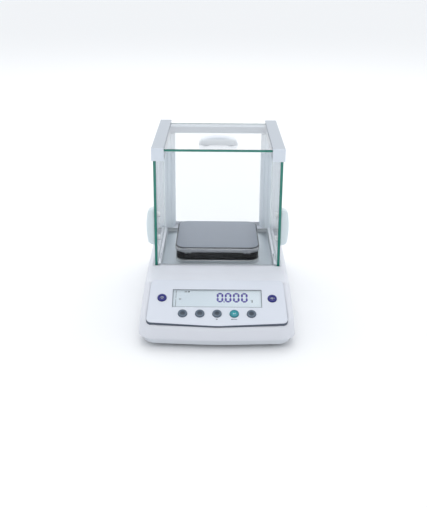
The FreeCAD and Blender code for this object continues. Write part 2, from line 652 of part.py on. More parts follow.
def rail():
    """Side rail: carries the top door in its inner slot and guides the side door below."""
    bar = block((RAIL_INNER, RAIL_OUTER), (SHIELD_FRONT_Y, SHIELD_BACK_Y), (RAIL_BOTTOM_Z, RAIL_TOP_Z))
    rim = [e for e in bar.Edges if e.BoundBox.YLength > 100 and e.CenterOfMass.z > RAIL_TOP_Z - 1]
    top_edges_only = [e for e in bar.Edges if e.CenterOfMass.z > RAIL_TOP_Z - 1]
    front = [e for e in top_edges_only if e.CenterOfMass.y < SHIELD_FRONT_Y + 1]
    bar = bar.makeFillet(0.8, rim + front)
    uprights = [e for e in bar.Edges if e.BoundBox.ZLength > 10]
    back = [e for e in uprights if e.CenterOfMass.y > 160 and e.CenterOfMass.x > 90]
    bar = bar.makeFillet(4.0, back)
    run = (DOOR_FRONT_Y - SLIP, 200)
    bar = bar.cut(block((DOOR_IN - SLIP, DOOR_IN + DOOR_GLASS + SLIP), run, (0, DOOR_TOP_Z + SLIP)))
    bar = bar.cut(block((0, RAIL_INNER + 5), run, (TOP_GLASS_Z - SLIP, TOP_GLASS_Z + PANE + SLIP)))
    pocket = (FRONT_PANE_Y - 0.2, FRONT_PANE_Y + PANE + 0.2)
    return bar.cut(block((0, DOOR_IN), pocket, (0, TOP_GLASS_Z)))


def front_glass():
    """Fixed front pane, in the deck's slot and the rails' pockets."""
    y = (FRONT_PANE_Y, FRONT_PANE_Y + PANE)
    return block((SLIP - DOOR_IN, DOOR_IN - SLIP), y, (DECK_Z - 2, TOP_GLASS_Z - SLIP))


def side_door():
    """Sliding side pane."""
    return block((DOOR_IN, DOOR_IN + DOOR_GLASS), (DOOR_FRONT_Y, DOOR_BACK_Y), (DOOR_BOTTOM_Z, DOOR_TOP_Z))


def top_door():
    """Sliding top pane, in the rails' inner slots."""
    x = RAIL_INNER + 4.5
    return block((-x, x), (DOOR_FRONT_Y + 0.2, TOP_GLASS_BACK_Y), (TOP_GLASS_Z, TOP_GLASS_Z + PANE))


def door_track():
    """Channel in the deck that the side door runs in, with a shallow stop slot in its inner lip."""
    y = (SHIELD_FRONT_Y + 0.2, SHIELD_BACK_Y)
    channel = block((TRACK_IN + 0.1, TRACK_OUT - 0.1), y, (FLOOR_Z + 0.05, DECK_Z + 1.5))
    channel = channel.cut(block((DOOR_IN - SLIP, TRACK_OUT - 1.2), (-60, 200), (DOOR_BOTTOM_Z - SLIP, 100)))
    channel = channel.cut(block((DOOR_IN - 1, 100), (-60, 200), (DECK_Z + 0.3, 100)))
    channel = channel.cut(block((0, 100), (POST_FRONT_Y - 0.2, 200), (DECK_Z, 100)))
    channel = channel.cut(block((0, DOOR_IN), (-60, FRONT_PANE_Y + PANE + 0.2), (DECK_Z - 2, 100)))
    return channel.cut(block((85.4, 86.8), (-15, 11), (DECK_Z - 2, 100)))


def door_tracks():
    """Both lower tracks."""
    track = door_track()
    return Part.makeCompound([track, mirrored(track)])


def handle_form():
    """Finger grip in its own axes: base on Z = 0, long along X, with a narrower crowned crest."""
    low = HANDLE_LENGTH / 2
    high = HANDLE_CREST / 2
    corners = [(-low, 0), (low, 0), (high + 2, HANDLE_RISE), (-high - 2, HANDLE_RISE)]
    wire = outline(corners, [0.8, 0.8, 5, 5], lambda p: V(p.x, -HANDLE_DEPTH / 2, p.y))
    grip = Part.Face(wire).extrude(V(0, HANDLE_DEPTH, 0))
    rim = [e for e in grip.Edges if e.BoundBox.YLength < 0.1 and e.CenterOfMass.z > 1]
    return grip.makeFillet(2.0, rim)


def side_handle():
    grip = handle_form()
    grip.rotate(V(0, 0, 0), V(0, 0, 1), 90)
    grip.rotate(V(0, 0, 0), V(0, 1, 0), 90)
    grip.rotate(V(0, 0, 0), V(1, 0, 0), 90)
    grip.translate(V(DOOR_IN + DOOR_GLASS, HANDLE_SIDE_Y, HANDLE_SIDE_Z))
    return grip


def top_handle():
    grip = handle_form()
    grip.translate(V(0, HANDLE_TOP_Y, TOP_GLASS_Z + PANE))
    return grip


def side_bosses():
    """Screw caps on the inner face of a side door."""
    caps = []
    for end in (-1, 1):
        z = HANDLE_SIDE_Z + end * HANDLE_SCREW_SPACING / 2
        cap = rod(BOSS_RADIUS, V(DOOR_IN, HANDLE_SIDE_Y, z), V(DOOR_IN - BOSS_HEIGHT, HANDLE_SIDE_Y, z))
        face_x = DOOR_IN - BOSS_HEIGHT
        rim = [e for e in cap.Edges if e.CenterOfMass.x < face_x + 0.1 and len(e.Vertexes) == 1]
        caps.append(cap.makeFillet(0.8, rim))
    return Part.makeCompound(caps)


def top_bosses():
    """Flat screw caps under the top door."""
    z = (TOP_GLASS_Z - TOP_BOSS_HEIGHT, TOP_GLASS_Z)
    reach = HANDLE_SCREW_SPACING / 2
    return Part.makeCompound([upright(BOSS_RADIUS, x, HANDLE_TOP_Y, z) for x in (-reach, reach)])


# ---------------------------------------------------------------- level, feet and fasteners
def level_cup():
    """Black ring sunk in the deck that holds the spirit level."""
    cup = upright(5.5, 0, LEVEL_Y, (DECK_Z - 4.8, DECK_Z + 1.5))
    return cup.cut(upright(4.5, 0, LEVEL_Y, (DECK_Z - 3.5, DECK_Z + 2)))


def level_vial():
    vial = upright(4.4, 0, LEVEL_Y, (DECK_Z - 3.4, DECK_Z + 1.0))
    return vial.makeFillet(0.6, [vial.Edges[0]])


def front_feet():
    feet = []
    for side in (-1, 1):
        foot = upright(FOOT_RADIUS, side * FRONT_FOOT.x, FRONT_FOOT.y, (0, TRAY_BOTTOM_Z))
        feet.append(foot.fuse(upright(3, side * FRONT_FOOT.x, FRONT_FOOT.y, (4, TRAY_BOTTOM_Z + 4))))
    return Part.makeCompound(feet)


def foot_pad():
    pad = upright(FOOT_RADIUS, REAR_FOOT.x, REAR_FOOT.y, (0, 4.2))
    return pad.cut(upright(2.05, REAR_FOOT.x, REAR_FOOT.y, (2, 5)))


def foot_screw():
    """Levelling screw with a notched wheel."""
    x, y = REAR_FOOT.x, REAR_FOOT.y
    wheel = upright(WHEEL_RADIUS, x, y, (4.6, 11.5))
    for i in range(WHEEL_NOTCHES):
        angle = 2 * math.pi * i / WHEEL_NOTCHES
        notch = V(math.cos(angle), math.sin(angle), 0) * (WHEEL_RADIUS + 0.1)
        wheel = wheel.cut(upright(0.9, x + notch.x, y + notch.y, (0, 20)))
    return joined([wheel, upright(FOOT_THREAD, x, y, (11, 30)), upright(2.0, x, y, (2.4, 5))])


def hook_cover():
    """Small plate that swings aside from the opening for weighing below the balance."""
    corners = [(-11, PAN_Y - 11), (21, PAN_Y - 11), (21, PAN_Y + 11), (-11, PAN_Y + 11)]
    plate = slab(corners, [6] * 4, (2.9, 4.3))
    return plate.cut(upright(1.3, 15, PAN_Y, (0, 10)))


def machine_screw(x, y, z, run):
    """Cap screw whose head bears at height z; its shank points up for a positive run, down for a negative."""
    way = math.copysign(1, run)
    head = rod(SCREW_HEAD, V(x, y, z - way * 2.2), V(x, y, z))
    shank = rod(SCREW_SHANK, V(x, y, z), V(x, y, z + run))
    recess = rod(1.4, V(x, y, z - way * 2.3), V(x, y, z - way * 0.9))
    return head.fuse(shank).cut(recess)


def machine_screws():
    made = [machine_screw(x, y, BOARD_Z + BOARD_THICK, -SCREW_LENGTH) for x, y in BOARD_SCREWS]
    for side in (-1, 1):
        made += [machine_screw(side * x, y, HEAD_SEAT_Z, SCREW_LENGTH) for x, y in CASE_SCREWS]
        made += [machine_screw(side * x, y, HEAD_SEAT_Z, CELL_SCREW_LENGTH) for x, y in CELL_SCREWS]
    return Part.makeCompound(made)


# ---------------------------------------------------------------- write every node
SINGLE = {
    "upper_housing": upper_housing, "base_tray": base_tray, "control_panel": control_panel,
    "panel_frame": panel_frame, "display_window": display_window, "lcd_module": lcd_module,
    "display_board": display_board, "keypad_mat": keypad_mat, "chamber_floor": chamber_floor,
    "draught_ring": draught_ring, "pan": pan, "pan_support": pan_support, "pan_pads": pan_pads,
    "load_carrier": load_carrier, "cell_frame": cell_frame, "parallel_guides": parallel_guides,
    "lever": lever, "pivot_strips": pivot_strips, "coupling_strip": coupling_strip, "coil": coil,
    "magnet_pot": magnet_pot, "magnet": magnet, "position_sensor": position_sensor,
    "main_board": main_board, "serial_port": serial_port, "dc_jack": dc_jack,
    "display_ribbon": display_ribbon, "rear_beam": rear_beam, "back_glass": back_glass,
    "front_glass": front_glass, "top_door_glass": top_door, "top_handle": top_handle,
    "top_handle_screws": top_bosses, "door_tracks": door_tracks, "level_cup": level_cup,
    "level_vial": level_vial, "front_feet": front_feet, "hook_cover": hook_cover,
    "machine_screws": machine_screws,
}
PAIRS = {
    "post": rear_post, "rail": rail, "door_glass": side_door,
    "handle": side_handle, "handle_screws": side_bosses, "foot_pad": foot_pad, "foot_screw": foot_screw,
}

os.makedirs("parts", exist_ok=True)
for node, make in SINGLE.items():
    save(node, make())
for node, make in PAIRS.items():
    save_pair(node, make())
for node, x, row in key_places():
    save(node, key(x, row))
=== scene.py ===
# %% [markdown]
# A precision balance with a glass draught shield, dressed for the studio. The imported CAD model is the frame:
# every piece below takes its place and size from it, and rides on one of its bodies, so the doors, keys and
# feet still move. What is added here is the look: rounded edges, real glass, brushed steel and moulded plastic.

# %% Load the frame
import json
import math

import bmesh
import bpy
import numpy as np
from mathutils import Matrix, Vector


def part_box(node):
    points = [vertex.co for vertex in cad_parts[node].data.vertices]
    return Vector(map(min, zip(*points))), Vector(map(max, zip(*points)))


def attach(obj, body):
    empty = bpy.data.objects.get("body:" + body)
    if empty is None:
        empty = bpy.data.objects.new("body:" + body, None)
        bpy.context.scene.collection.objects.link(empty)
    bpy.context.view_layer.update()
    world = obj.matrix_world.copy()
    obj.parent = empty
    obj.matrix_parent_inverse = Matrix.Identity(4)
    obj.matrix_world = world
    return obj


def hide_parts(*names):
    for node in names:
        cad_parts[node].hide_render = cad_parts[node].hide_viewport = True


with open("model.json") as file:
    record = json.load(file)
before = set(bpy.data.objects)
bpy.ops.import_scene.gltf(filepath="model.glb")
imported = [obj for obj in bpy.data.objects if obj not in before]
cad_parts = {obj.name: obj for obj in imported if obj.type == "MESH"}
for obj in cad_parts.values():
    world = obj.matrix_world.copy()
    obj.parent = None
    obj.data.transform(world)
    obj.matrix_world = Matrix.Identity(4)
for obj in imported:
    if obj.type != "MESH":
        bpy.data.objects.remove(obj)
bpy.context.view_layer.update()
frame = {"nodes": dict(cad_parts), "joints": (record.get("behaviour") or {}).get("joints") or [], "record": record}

record = frame["record"]
slot_of = {entry["node"]: entry["material_slot"] for entry in record["subparts"]}
body_of = {node: body for body, nodes in record["behaviour"]["bodies"].items() for node in nodes}

# %% [markdown]
# Small parts are easiest to think about in millimetres, while the frame is in metres. All the shapes below are
# worked out in millimetres and scaled once, as the mesh is made.

# %% Measures
MM = 0.001


def low_high(node):
    """A CAD node's lowest and highest corner, in millimetres."""
    low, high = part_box(node)
    return np.array(low) / MM, np.array(high) / MM


def centre_of(node):
    low, high = low_high(node)
    return (low + high) / 2


def size_of(node):
    low, high = low_high(node)
    return high - low


pan_side = size_of("pan")[0]
pan_top = low_high("pan")[1][2]
print("pan side:", round(pan_side, 1), "mm")

# %% [markdown]
# A place is an origin with three directions. The upright place is the bench's own axes. The keypad leans back,
# and the way its keys are pressed, straight into the panel, gives that slope: the panel's own axes follow from
# the joint, so a change of slope in the CAD turns everything printed on it too.

# %% Places to build in
X_WAY, Y_WAY, Z_WAY = np.eye(3)


def place(origin, across=X_WAY, along=Y_WAY):
    """Origin and axes of a local space; the third axis is across x along, so shapes never turn inside out."""
    return np.array(origin, float), np.stack([across, along, np.cross(across, along)])


def over(point):
    """Upright place at bench height, over or under a point."""
    return place([point[0], point[1], 0])


def put(points, where):
    """Local points moved into the frame: origin + x * across + y * along + z * outward."""
    origin, axes = where
    return origin + points @ axes


press = next(joint for joint in frame["joints"] if joint["name"] == "power_key_press")
PANEL_OUT = -np.array(press["axis"])
PANEL_UP = np.cross(PANEL_OUT, X_WAY)
PANEL_SKIN = 0.9
panel_high = low_high("control_panel")[1]
panel = place([0, panel_high[1] + PANEL_SKIN * PANEL_OUT[1], panel_high[2]], X_WAY, PANEL_UP)


def on_panel(point):
    """Across, up the slope and out of the panel, for a point of the frame."""
    return (np.array(point) - panel[0]) @ panel[1].T


print("panel leans back", round(math.degrees(math.acos(PANEL_OUT[2])), 1), "degrees")

# %% [markdown]
# Nearly every part of the balance is an outline with rounded corners, pushed up into a plate or a cap. So the
# first tool is an outline: a polygon whose corners become arcs, kept with its outward directions, because
# moving each point against its direction shrinks the outline evenly, which is how an edge is rounded.

# %% Outlines
def soft_outline(corners, radii, steps=8):
    """Polygon with arcs for corners, counter-clockwise.
    The arc's centre is corner - radius * (n1 + n2) / (1 + n1.n2), where n1 and n2 face out of the two sides;
    a point is centre + radius * n, with n turning from n1 to n2. Returns the points and each point's n."""
    corners = np.array(corners, float)
    radii = np.broadcast_to(np.array(radii, float), len(corners))[:, None]
    after = np.roll(corners, -1, axis=0) - corners
    after /= np.linalg.norm(after, axis=1, keepdims=True)
    n_after = np.stack([after[:, 1], -after[:, 0]], axis=1)
    n_before = np.roll(n_after, 1, axis=0)
    facing = (n_before * n_after).sum(axis=1, keepdims=True)
    centres = corners - radii * (n_before + n_after) / (1 + facing)
    start = np.arctan2(n_before[:, 1], n_before[:, 0])
    turn = (np.arctan2(n_after[:, 1], n_after[:, 0]) - start) % (2 * np.pi)
    angle = start[:, None] + turn[:, None] * np.linspace(0, 1, steps + 1)
    out = np.stack([np.cos(angle), np.sin(angle)], axis=-1)
    points = centres[:, None, :] + radii[:, None] * out
    return points.reshape(-1, 2), out.reshape(-1, 2)


def oblong(width, length, corner, steps=8):
    """Rounded rectangle centred on the origin."""
    x, y = width / 2, length / 2
    return soft_outline([(-x, -y), (x, -y), (x, y), (-x, y)], corner, steps)


def ring_outline(radius, count=64):
    """Circle: radius * (cos t, sin t)."""
    angle = np.linspace(0, 2 * np.pi, count, endpoint=False)
    out = np.stack([np.cos(angle), np.sin(angle)], axis=1)
    return radius * out, out


print("an oblong has", len(oblong(2, 2, 0.5)[0]), "points")

# %% [markdown]
# The second tool carries a profile round an outline. A profile is a short list of (inset, height) pairs: how
# far in from the outline, and how high. Going from the middle of the underside, out round the edge, and back to
# the middle of the top keeps every face pointing outwards. An extra pair just inside each rounded edge keeps
# the shading of the big flat faces flat.

# %% Profiles
SUPPORT = 0.25


def bend(inset, height, radius, start, end, steps=5):
    """Arc of a profile round a centre: inset - radius * cos(t), height + radius * sin(t)."""
    angle = np.radians(np.linspace(start, end, steps + 1))
    return np.stack([inset - radius * np.cos(angle), height + radius * np.sin(angle)], axis=1)


def walk(*parts):
    """A profile from its parts: single points and bends, end to end."""
    return np.concatenate(parts)


def plate_profile(low, high, edge_low=0.3, edge_high=0.3, steps=4):
    """Flat underside, rounded lower edge, straight wall, rounded upper edge, flat top."""
    return walk([(edge_low + SUPPORT, low)],
                bend(edge_low, low + edge_low, edge_low, -90, 0, steps),
                bend(edge_high, high - edge_high, edge_high, 0, 90, steps),
                [(edge_high + SUPPORT, high)])


def carried(outline, profile):
    """Rings of points: each outline point moved inwards by the profile's inset, at the profile's height."""
    points, out = outline
    inset, height = np.array(profile, float).T
    flat = points[None] - inset[:, None, None] * out[None]
    tall = np.broadcast_to(height[:, None, None], flat.shape[:2] + (1,))
    return np.concatenate([flat, tall], axis=2)


def ring_faces(rows, count, joined=False):
    """Quads between neighbouring rings; joined also links the last ring to the first."""
    row = np.arange(rows if joined else rows - 1)[:, None] * count
    column = np.arange(count)[None]
    beside = (column + 1) % count
    above = (row + count) % (rows * count)
    quads = np.stack([row + column, row + beside, above + beside, above + column], axis=-1)
    return quads.reshape(-1, 4).tolist()


def solid_faces(rows, count):
    """Ring quads with a flat face over the first and the last ring."""
    under = list(range(count))[::-1]
    over = list(range((rows - 1) * count, rows * count))
    return ring_faces(rows, count) + [under, over]


def solid(outline, profile, where):
    """Closed body of a profile carried round an outline, put in place: (points, faces)."""
    rings = carried(outline, profile)
    return put(rings.reshape(-1, 3), where), solid_faces(*rings.shape[:2])


def hoop(outline, profile, where):
    """The same for a profile that closes on itself, as on a frame or a ring."""
    rings = carried(outline, profile)
    return put(rings.reshape(-1, 3), where), ring_faces(*rings.shape[:2], joined=True)


def together(shapes):
    """Several (points, faces) as one, with the face numbers moved along."""
    points, faces, count = [], [], 0
    for shape_points, shape_faces in shapes:
        points.append(shape_points)
        faces += [[corner + count for corner in face] for face in shape_faces]
        count += len(shape_points)
    return np.concatenate(points), faces


print("a plate profile has", len(plate_profile(0, 3)), "rings")

# %% [markdown]
# A shape becomes an object in one step. Faces are smooth up to a set angle and crisp beyond it, as on a moulded
# part. Each object then says which CAD nodes it stands for, rides on their body, and takes their finish.

# %% Objects
SMOOTH_BELOW = 38
MADE_WELD = 0.002 * MM
made = {}


def weld(mesh, distance):
    """Joins the corners of a mesh that lie closer than a distance."""
    work = bmesh.new()
    work.from_mesh(mesh)
    bmesh.ops.remove_doubles(work, verts=work.verts, dist=distance)
    work.to_mesh(mesh)
    work.free()


def dress(piece, node, finish=None, stands_for=True, smooth_below=SMOOTH_BELOW):
    """Smooths a new piece up to an angle, links it, and ties it to its CAD node's body, slot and finish."""
    piece.data.shade_smooth()
    piece.data.set_sharp_from_angle(angle=math.radians(smooth_below))
    bpy.context.scene.collection.objects.link(piece)
    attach(piece, body_of[node])
    if stands_for:
        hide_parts(node)
    piece["finish"] = finish or slot_of[node]
    made[piece.name] = piece
    print(piece.name, len(piece.data.polygons), "faces")
    return piece


def make(name, shape, node, finish=None, stands_for=True):
    """Object from (points, faces) in millimetres, riding with a CAD node and hiding it if it stands for it."""
    points, faces = shape
    mesh = bpy.data.meshes.new(name)
    mesh.from_pydata((points * MM).tolist(), [], faces)
    weld(mesh, MADE_WELD)
    return dress(bpy.data.objects.new(name, mesh), node, finish, stands_for)


def mark(name, shape, node, finish):
    """A print or another mark that stands for no node of its own, and rides with the one it lies on."""
    return make(name, shape, node, finish, stands_for=False)


# %% [markdown]
# The housing, tray and rails come out of the CAD with all their slots and recesses, but as loose flat
# triangles, which show as facets on round edges. Instead of modelling them again, a copy has its triangles
# welded and its normals weighted by face area, so fillets turn smoothly and broad faces stay flat. The rails
# are sawn bars with narrow ends, so theirs stay crisp.

# %% Welded copies of CAD shapes
COPY_WELD = 0.0005 * MM
SMOOTH_COPY_BELOW, CRISP_COPY_BELOW = 32, 3
COPIES = {
    "upper_housing": "housing_shell", "base_tray": "tray_shell", "left_post": "left_shield_post",
    "right_post": "right_shield_post", "rear_beam": "shield_beam", "load_carrier": "carrier_body",
    "magnet_pot": "magnet_cup", "coil": "coil_winding", "magnet": "magnet_core",
    "serial_port": "serial_socket", "dc_jack": "power_socket", "machine_screws": "case_screws",
    "level_cup": "level_holder", "chamber_floor": "floor_sheet", "left_rail": "left_shield_rail",
    "right_rail": "right_shield_rail",
}


def welded(node, name, smooth_below):
    """Copy of a CAD node with its triangles joined, smooth up to an angle, with area-weighted normals."""
    mesh = frame["nodes"][node].data.copy()
    mesh.name = name
    mesh.materials.clear()
    weld(mesh, COPY_WELD)
    piece = dress(bpy.data.objects.new(name, mesh), node, smooth_below=smooth_below)
    weighted = piece.modifiers.new("even shading", "WEIGHTED_NORMAL")
    weighted.keep_sharp = True
    weighted.weight = 100


for node, name in COPIES.items():
    welded(node, name, CRISP_COPY_BELOW if node.endswith("rail") else SMOOTH_COPY_BELOW)

# %% [markdown]
# The weighing pan is one sheet of stainless steel, deep-drawn: a flat top, a soft edge, and a rim whose lower
# lip is turned under. The profile is walked from the hollow underside down the inside of the rim, round the
# lip, and up and over the edge to the top. Small lugs on the lip locate it on its support.

# %% Pan
PAN_CORNER = 17.0
SHEET = 1.2
PAN_EDGE = 2.4
LIP = SHEET / 2
support_low, support_high = low_high("pan_support")
rim_low = support_high[2] - 4.2
pan_centre = centre_of("draught_ring")[:2]
pan_place = over(pan_centre)

pan_profile = walk([(PAN_EDGE + 3, pan_top - SHEET), (PAN_EDGE + 0.6, pan_top - SHEET)],
                   bend(PAN_EDGE, pan_top - PAN_EDGE, PAN_EDGE - SHEET, 90, 0),
                   bend(LIP, rim_low + LIP, LIP, -180, 0, steps=10),
                   bend(PAN_EDGE, pan_top - PAN_EDGE, PAN_EDGE, 0, 90, steps=8),
                   [(PAN_EDGE + 0.4, pan_top), (PAN_EDGE + 3, pan_top)])
pan_shape = solid(oblong(pan_side, pan_side, PAN_CORNER, steps=16), pan_profile, pan_place)

LUG_RADIUS = 2.0
LUG_XS = (-47.5, -41.5, 41.5, 47.5)
lug_profile = walk([(0, -1.0)], bend(0.8, 0.1, 0.8, 0, 90))
lugs = []
for end, turned in ((-1, X_WAY), (1, -X_WAY)):
    for x in LUG_XS:
        start = [x, pan_centre[1] + end * (pan_side / 2 - 0.7), rim_low - 0.3]
        lugs.append(solid(ring_outline(LUG_RADIUS, 20), lug_profile, place(start, turned, Z_WAY)))
make("weighing_pan", together([pan_shape] + lugs), "pan")

# %% [markdown]
# Under the pan sits a glossy black support, with a shallow groove where the mould halves meet, and round it a
# polished steel ring keeps draughts out. Both follow the pan's outline, a little smaller.

# %% Support and draught ring
skirt_low, skirt_high = support_low[2], support_high[2]
support_profile = walk(
    [(62.5, skirt_low + 1.5), (55.0, skirt_low + 1.5), (55.0, skirt_high - 4.0), (3.6, skirt_high - 4.0),
     (2.2, skirt_high - 5.5), (2.2, skirt_low + 0.5)],
    bend(0.7, skirt_low + 0.7, 0.7, -90, 0),
    [(0, skirt_low + 2.0), (0.35, skirt_low + 2.3), (0.35, skirt_low + 2.7), (0, skirt_low + 3.0)],
    bend(0.5, skirt_high - 0.5, 0.5, 0, 90),
    [(1.0, skirt_high), (8.0, skirt_high)])
support_side = size_of("pan_support")[0]
support_outline = oblong(support_side, support_side, PAN_CORNER - 1.3, steps=14)


ROUND_FROM, ROUND_OVER = 8.0, 6.0


def blended(outline, profile):
    """Rings that follow the outline outside, and turn into circles as the inset passes ROUND_FROM.
    A circle of inset d is (half side - d) * (cos t, sin t); the two forms are mixed by how far in d is."""
    rings = carried(outline, profile)
    inset = np.array(profile, float)[:, 0]
    half = np.abs(outline[0]).max()
    angle = np.arctan2(outline[0][:, 1], outline[0][:, 0])
    circle = (half - inset)[:, None, None] * np.stack([np.cos(angle), np.sin(angle)], axis=1)[None]
    mix = np.clip((inset - ROUND_FROM) / ROUND_OVER, 0, 1)[:, None, None]
    rings[:, :, :2] = rings[:, :, :2] * (1 - mix) + circle * mix
    return rings


support_rings = blended(support_outline, support_profile)
make("black_support", (put(support_rings.reshape(-1, 3), pan_place), solid_faces(*support_rings.shape[:2])),
     "pan_support")

ring_low, ring_high = low_high("draught_ring")
ring_side = size_of("draught_ring")[0]
ring_profile = walk([(1.3, ring_low[2]), (0.0, ring_low[2])],
                    bend(0.5, ring_high[2] - 0.5, 0.5, 0, 90),
                    bend(0.9, ring_high[2] - 0.4, 0.4, 90, 180))
make("polished_ring", hoop(oblong(ring_side, ring_side, PAN_CORNER, steps=16), ring_profile, pan_place),
     "draught_ring")

# %% [markdown]
# The keys are silicone buttons. Each has a rounded shoulder and a shallow dish for the fingertip, made by
# letting the height fall with the square of the distance from the middle. They share one profile, in the
# panel's own axes, and each rides on its own body so that it can be pressed.

# %% Keys
KEY_NODES = ["power_key", "tare_key", "mode_key", "left_arrow_key", "print_key", "enter_key", "calibrate_key"]
KEY_RADIUS = 6.4
KEY_PROUD = 1.3
KEY_SKIRT = 1.1
DISH_RADIUS = 4.9
DISH_DEPTH = 0.55


def dish_height(distance):
    """Height of a key's face: proud, less the dish's depth * (1 - (r / dish radius)^2) inside the dish."""
    inside = np.clip(1 - (distance / DISH_RADIUS) ** 2, 0, 1)
    return KEY_PROUD - 0.05 - DISH_DEPTH * inside


dish_steps = np.linspace(DISH_RADIUS, 0.15, 9)
key_profile = walk([(KEY_RADIUS - 1, -4.6), (-KEY_SKIRT, -4.6), (-KEY_SKIRT, -3.5), (0, -3.5)],
                   bend(0.8, KEY_PROUD - 0.8, 0.8, 0, 90),
                   np.stack([KEY_RADIUS - dish_steps, dish_height(dish_steps)], axis=1))


def key_place(node):
    """The panel's place, moved over a key's middle."""
    across, up = on_panel(centre_of(node))[:2]
    return panel[0] + across * panel[1][0] + up * panel[1][1], panel[1]


for node in KEY_NODES:
    make(node + "_cap", solid(ring_outline(KEY_RADIUS, 56), key_profile, key_place(node)), node)

# %% [markdown]
# The signs on the keys are printed film, so they are drawn as thin strokes that lie on the dish. A stroke is a
# strip of constant width along a line of points; its height comes from the same formula as the dish below it.

# %% Signs on the keys
PRINT_LIFT = 0.03
SIGN_STROKE = 0.45
LINE_POINTS, ARC_POINTS = 6, 24


def stroke(points, width, height):
    """Flat ribbon: each point of the line moved half the width to either side, along the line's own normal.
    height(x, y) gives how high each point lies."""
    line = np.array(points, float)
    way = np.gradient(line, axis=0)
    way /= np.linalg.norm(way, axis=1, keepdims=True)
    side = np.stack([-way[:, 1], way[:, 0]], axis=1) * width / 2
    edges = np.stack([line - side, line + side], axis=1).reshape(-1, 2)
    tall = height(edges[:, 0], edges[:, 1])
    start = np.arange(len(line) - 1)[:, None] * 2
    faces = (start + np.array([0, 2, 3, 1])).tolist()
    return np.column_stack([edges, tall]), faces


def path(*corners):
    """A line for each pair of corners that follow each other, as evenly spaced points."""
    return [np.linspace(start, end, LINE_POINTS) for start, end in zip(corners, corners[1:])]


def arc(radius, start, end, centre=(0, 0)):
    """Points on a circle between two angles in degrees."""
    angle = np.radians(np.linspace(start, end, ARC_POINTS))
    return [np.array(centre) + radius * np.stack([np.cos(angle), np.sin(angle)], axis=1)]


def on_dish(x, y):
    return dish_height(np.hypot(x, y)) + PRINT_LIFT


SIGNS = {
    "power_key": arc(1.7, 120, 420) + path((0, 0.6), (0, 2.4)),
    "tare_key": arc(1.2, 0, 360) + path((-3.3, 0), (-1.9, 0)) + path((3.3, 0), (1.9, 0)),
    "mode_key": path((-1.1, -1.1), (1.1, -1.1), (1.1, 1.1), (-1.1, 1.1), (-1.1, -1.1)),
    "left_arrow_key": path((1.6, 0), (-1.5, 0)) + path((-0.5, 1.1), (-1.6, 0), (-0.5, -1.1)),
    "print_key": path((-1.6, -0.9), (1.6, -0.9)) + path((-1.6, 0.4), (1.6, 0.4)) + path((-1.0, 1.3), (1.0, 1.3)),
    "enter_key": path((1.6, 1.2), (1.6, -0.3), (-1.6, -0.3)) + path((-0.7, 0.6), (-1.6, -0.3), (-0.7, -1.2)),
    "calibrate_key": path((-1.6, -1.2), (1.6, -1.2), (0.8, 0.8), (-0.8, 0.8), (-1.6, -1.2)),
}
LIGHT_SIGNS = ("power_key", "tare_key", "enter_key")
for node, lines in SIGNS.items():
    points, faces = together([stroke(line, SIGN_STROKE, on_dish) for line in lines])
    mark(node + "_sign", (put(points, key_place(node)), faces), node,
         "print_light" if node in LIGHT_SIGNS else "print_dark")

# %% [markdown]
# The display is a pale liquid crystal cell behind a clear window. The window is a plate with rounded edges, and
# a thin grey line is printed round its border, on top, where it is seen from any side.

# %% Display window and its border
window_width = size_of("display_window")[0]
window_mid = on_panel(centre_of("display_window"))
WINDOW_TOP, WINDOW_LOW, WINDOW_LENGTH = -0.1, -1.8, 32.0
window_place = (panel[0] + window_mid[1] * panel[1][1], panel[1])
window_outline = oblong(window_width, WINDOW_LENGTH, 0.8)
make("window_lens", solid(window_outline, plate_profile(WINDOW_LOW, WINDOW_TOP, 0.1, 0.15), window_place),
     "display_window")
BORDER_OUT, BORDER_IN = 0.2, 0.85
BORDER_Z = WINDOW_TOP + 0.01
INK = 0.03
border_profile = [(BORDER_IN, BORDER_Z), (BORDER_OUT, BORDER_Z), (BORDER_OUT, BORDER_Z + INK),
                  (BORDER_IN, BORDER_Z + INK)]
mark("window_border", hoop(window_outline, border_profile, window_place), "display_window", "print_line")

# %% [markdown]
# The reading is made of seven-segment figures. One bar with pointed ends is enough: the upright bars are the
# same shape given a quarter turn, and a short table says where each of the seven goes in a figure.

# %% Figures on the display
LCD_FACE = -1.9
FIGURE_WIDTH, FIGURE_HEIGHT, FIGURE_STEP = 9.3, 17.2, 11.3
FIGURE_LEFT = -0.6
FIGURE_MID = -31.3
BAR = 2.8
BAR_GAP = 0.25
PRINTED = LCD_FACE + 0.05
TILE = 0.02


def bar(length):
    """Hexagonal segment along X, centred: pointed by half its thickness at both ends."""
    x, t = length / 2 - BAR_GAP, BAR / 2
    return np.array([(-x, 0), (t - x, -t), (x - t, -t), (x, 0), (x - t, t), (t - x, t)])


def figure_bars(lit):
    """Bars of one figure; lit names its segments, a to g, clockwise from the top with g in the middle."""
    w, h = FIGURE_WIDTH - BAR, FIGURE_HEIGHT - BAR
    flat, tall = bar(w), bar(h / 2)[:, ::-1] * (-1, 1)
    spots = {"a": (0, h / 2), "b": (w / 2, h / 4), "c": (w / 2, -h / 4), "d": (0, -h / 2),
             "e": (-w / 2, -h / 4), "f": (-w / 2, h / 4), "g": (0, 0)}
    return [(flat if name in "adg" else tall) + spots[name] for name in lit]


def printed(polygons):
    """Thin closed tiles on the display from flat polygons: a lower and an upper copy joined by walls."""
    tiles = []
    for polygon in polygons:
        count = len(polygon)
        rings = np.concatenate([np.column_stack([polygon, np.full(count, level)])
                                for level in (PRINTED, PRINTED + TILE)])
        tiles.append((rings, solid_faces(2, count)))
    points, faces = together(tiles)
    return put(points, panel), faces


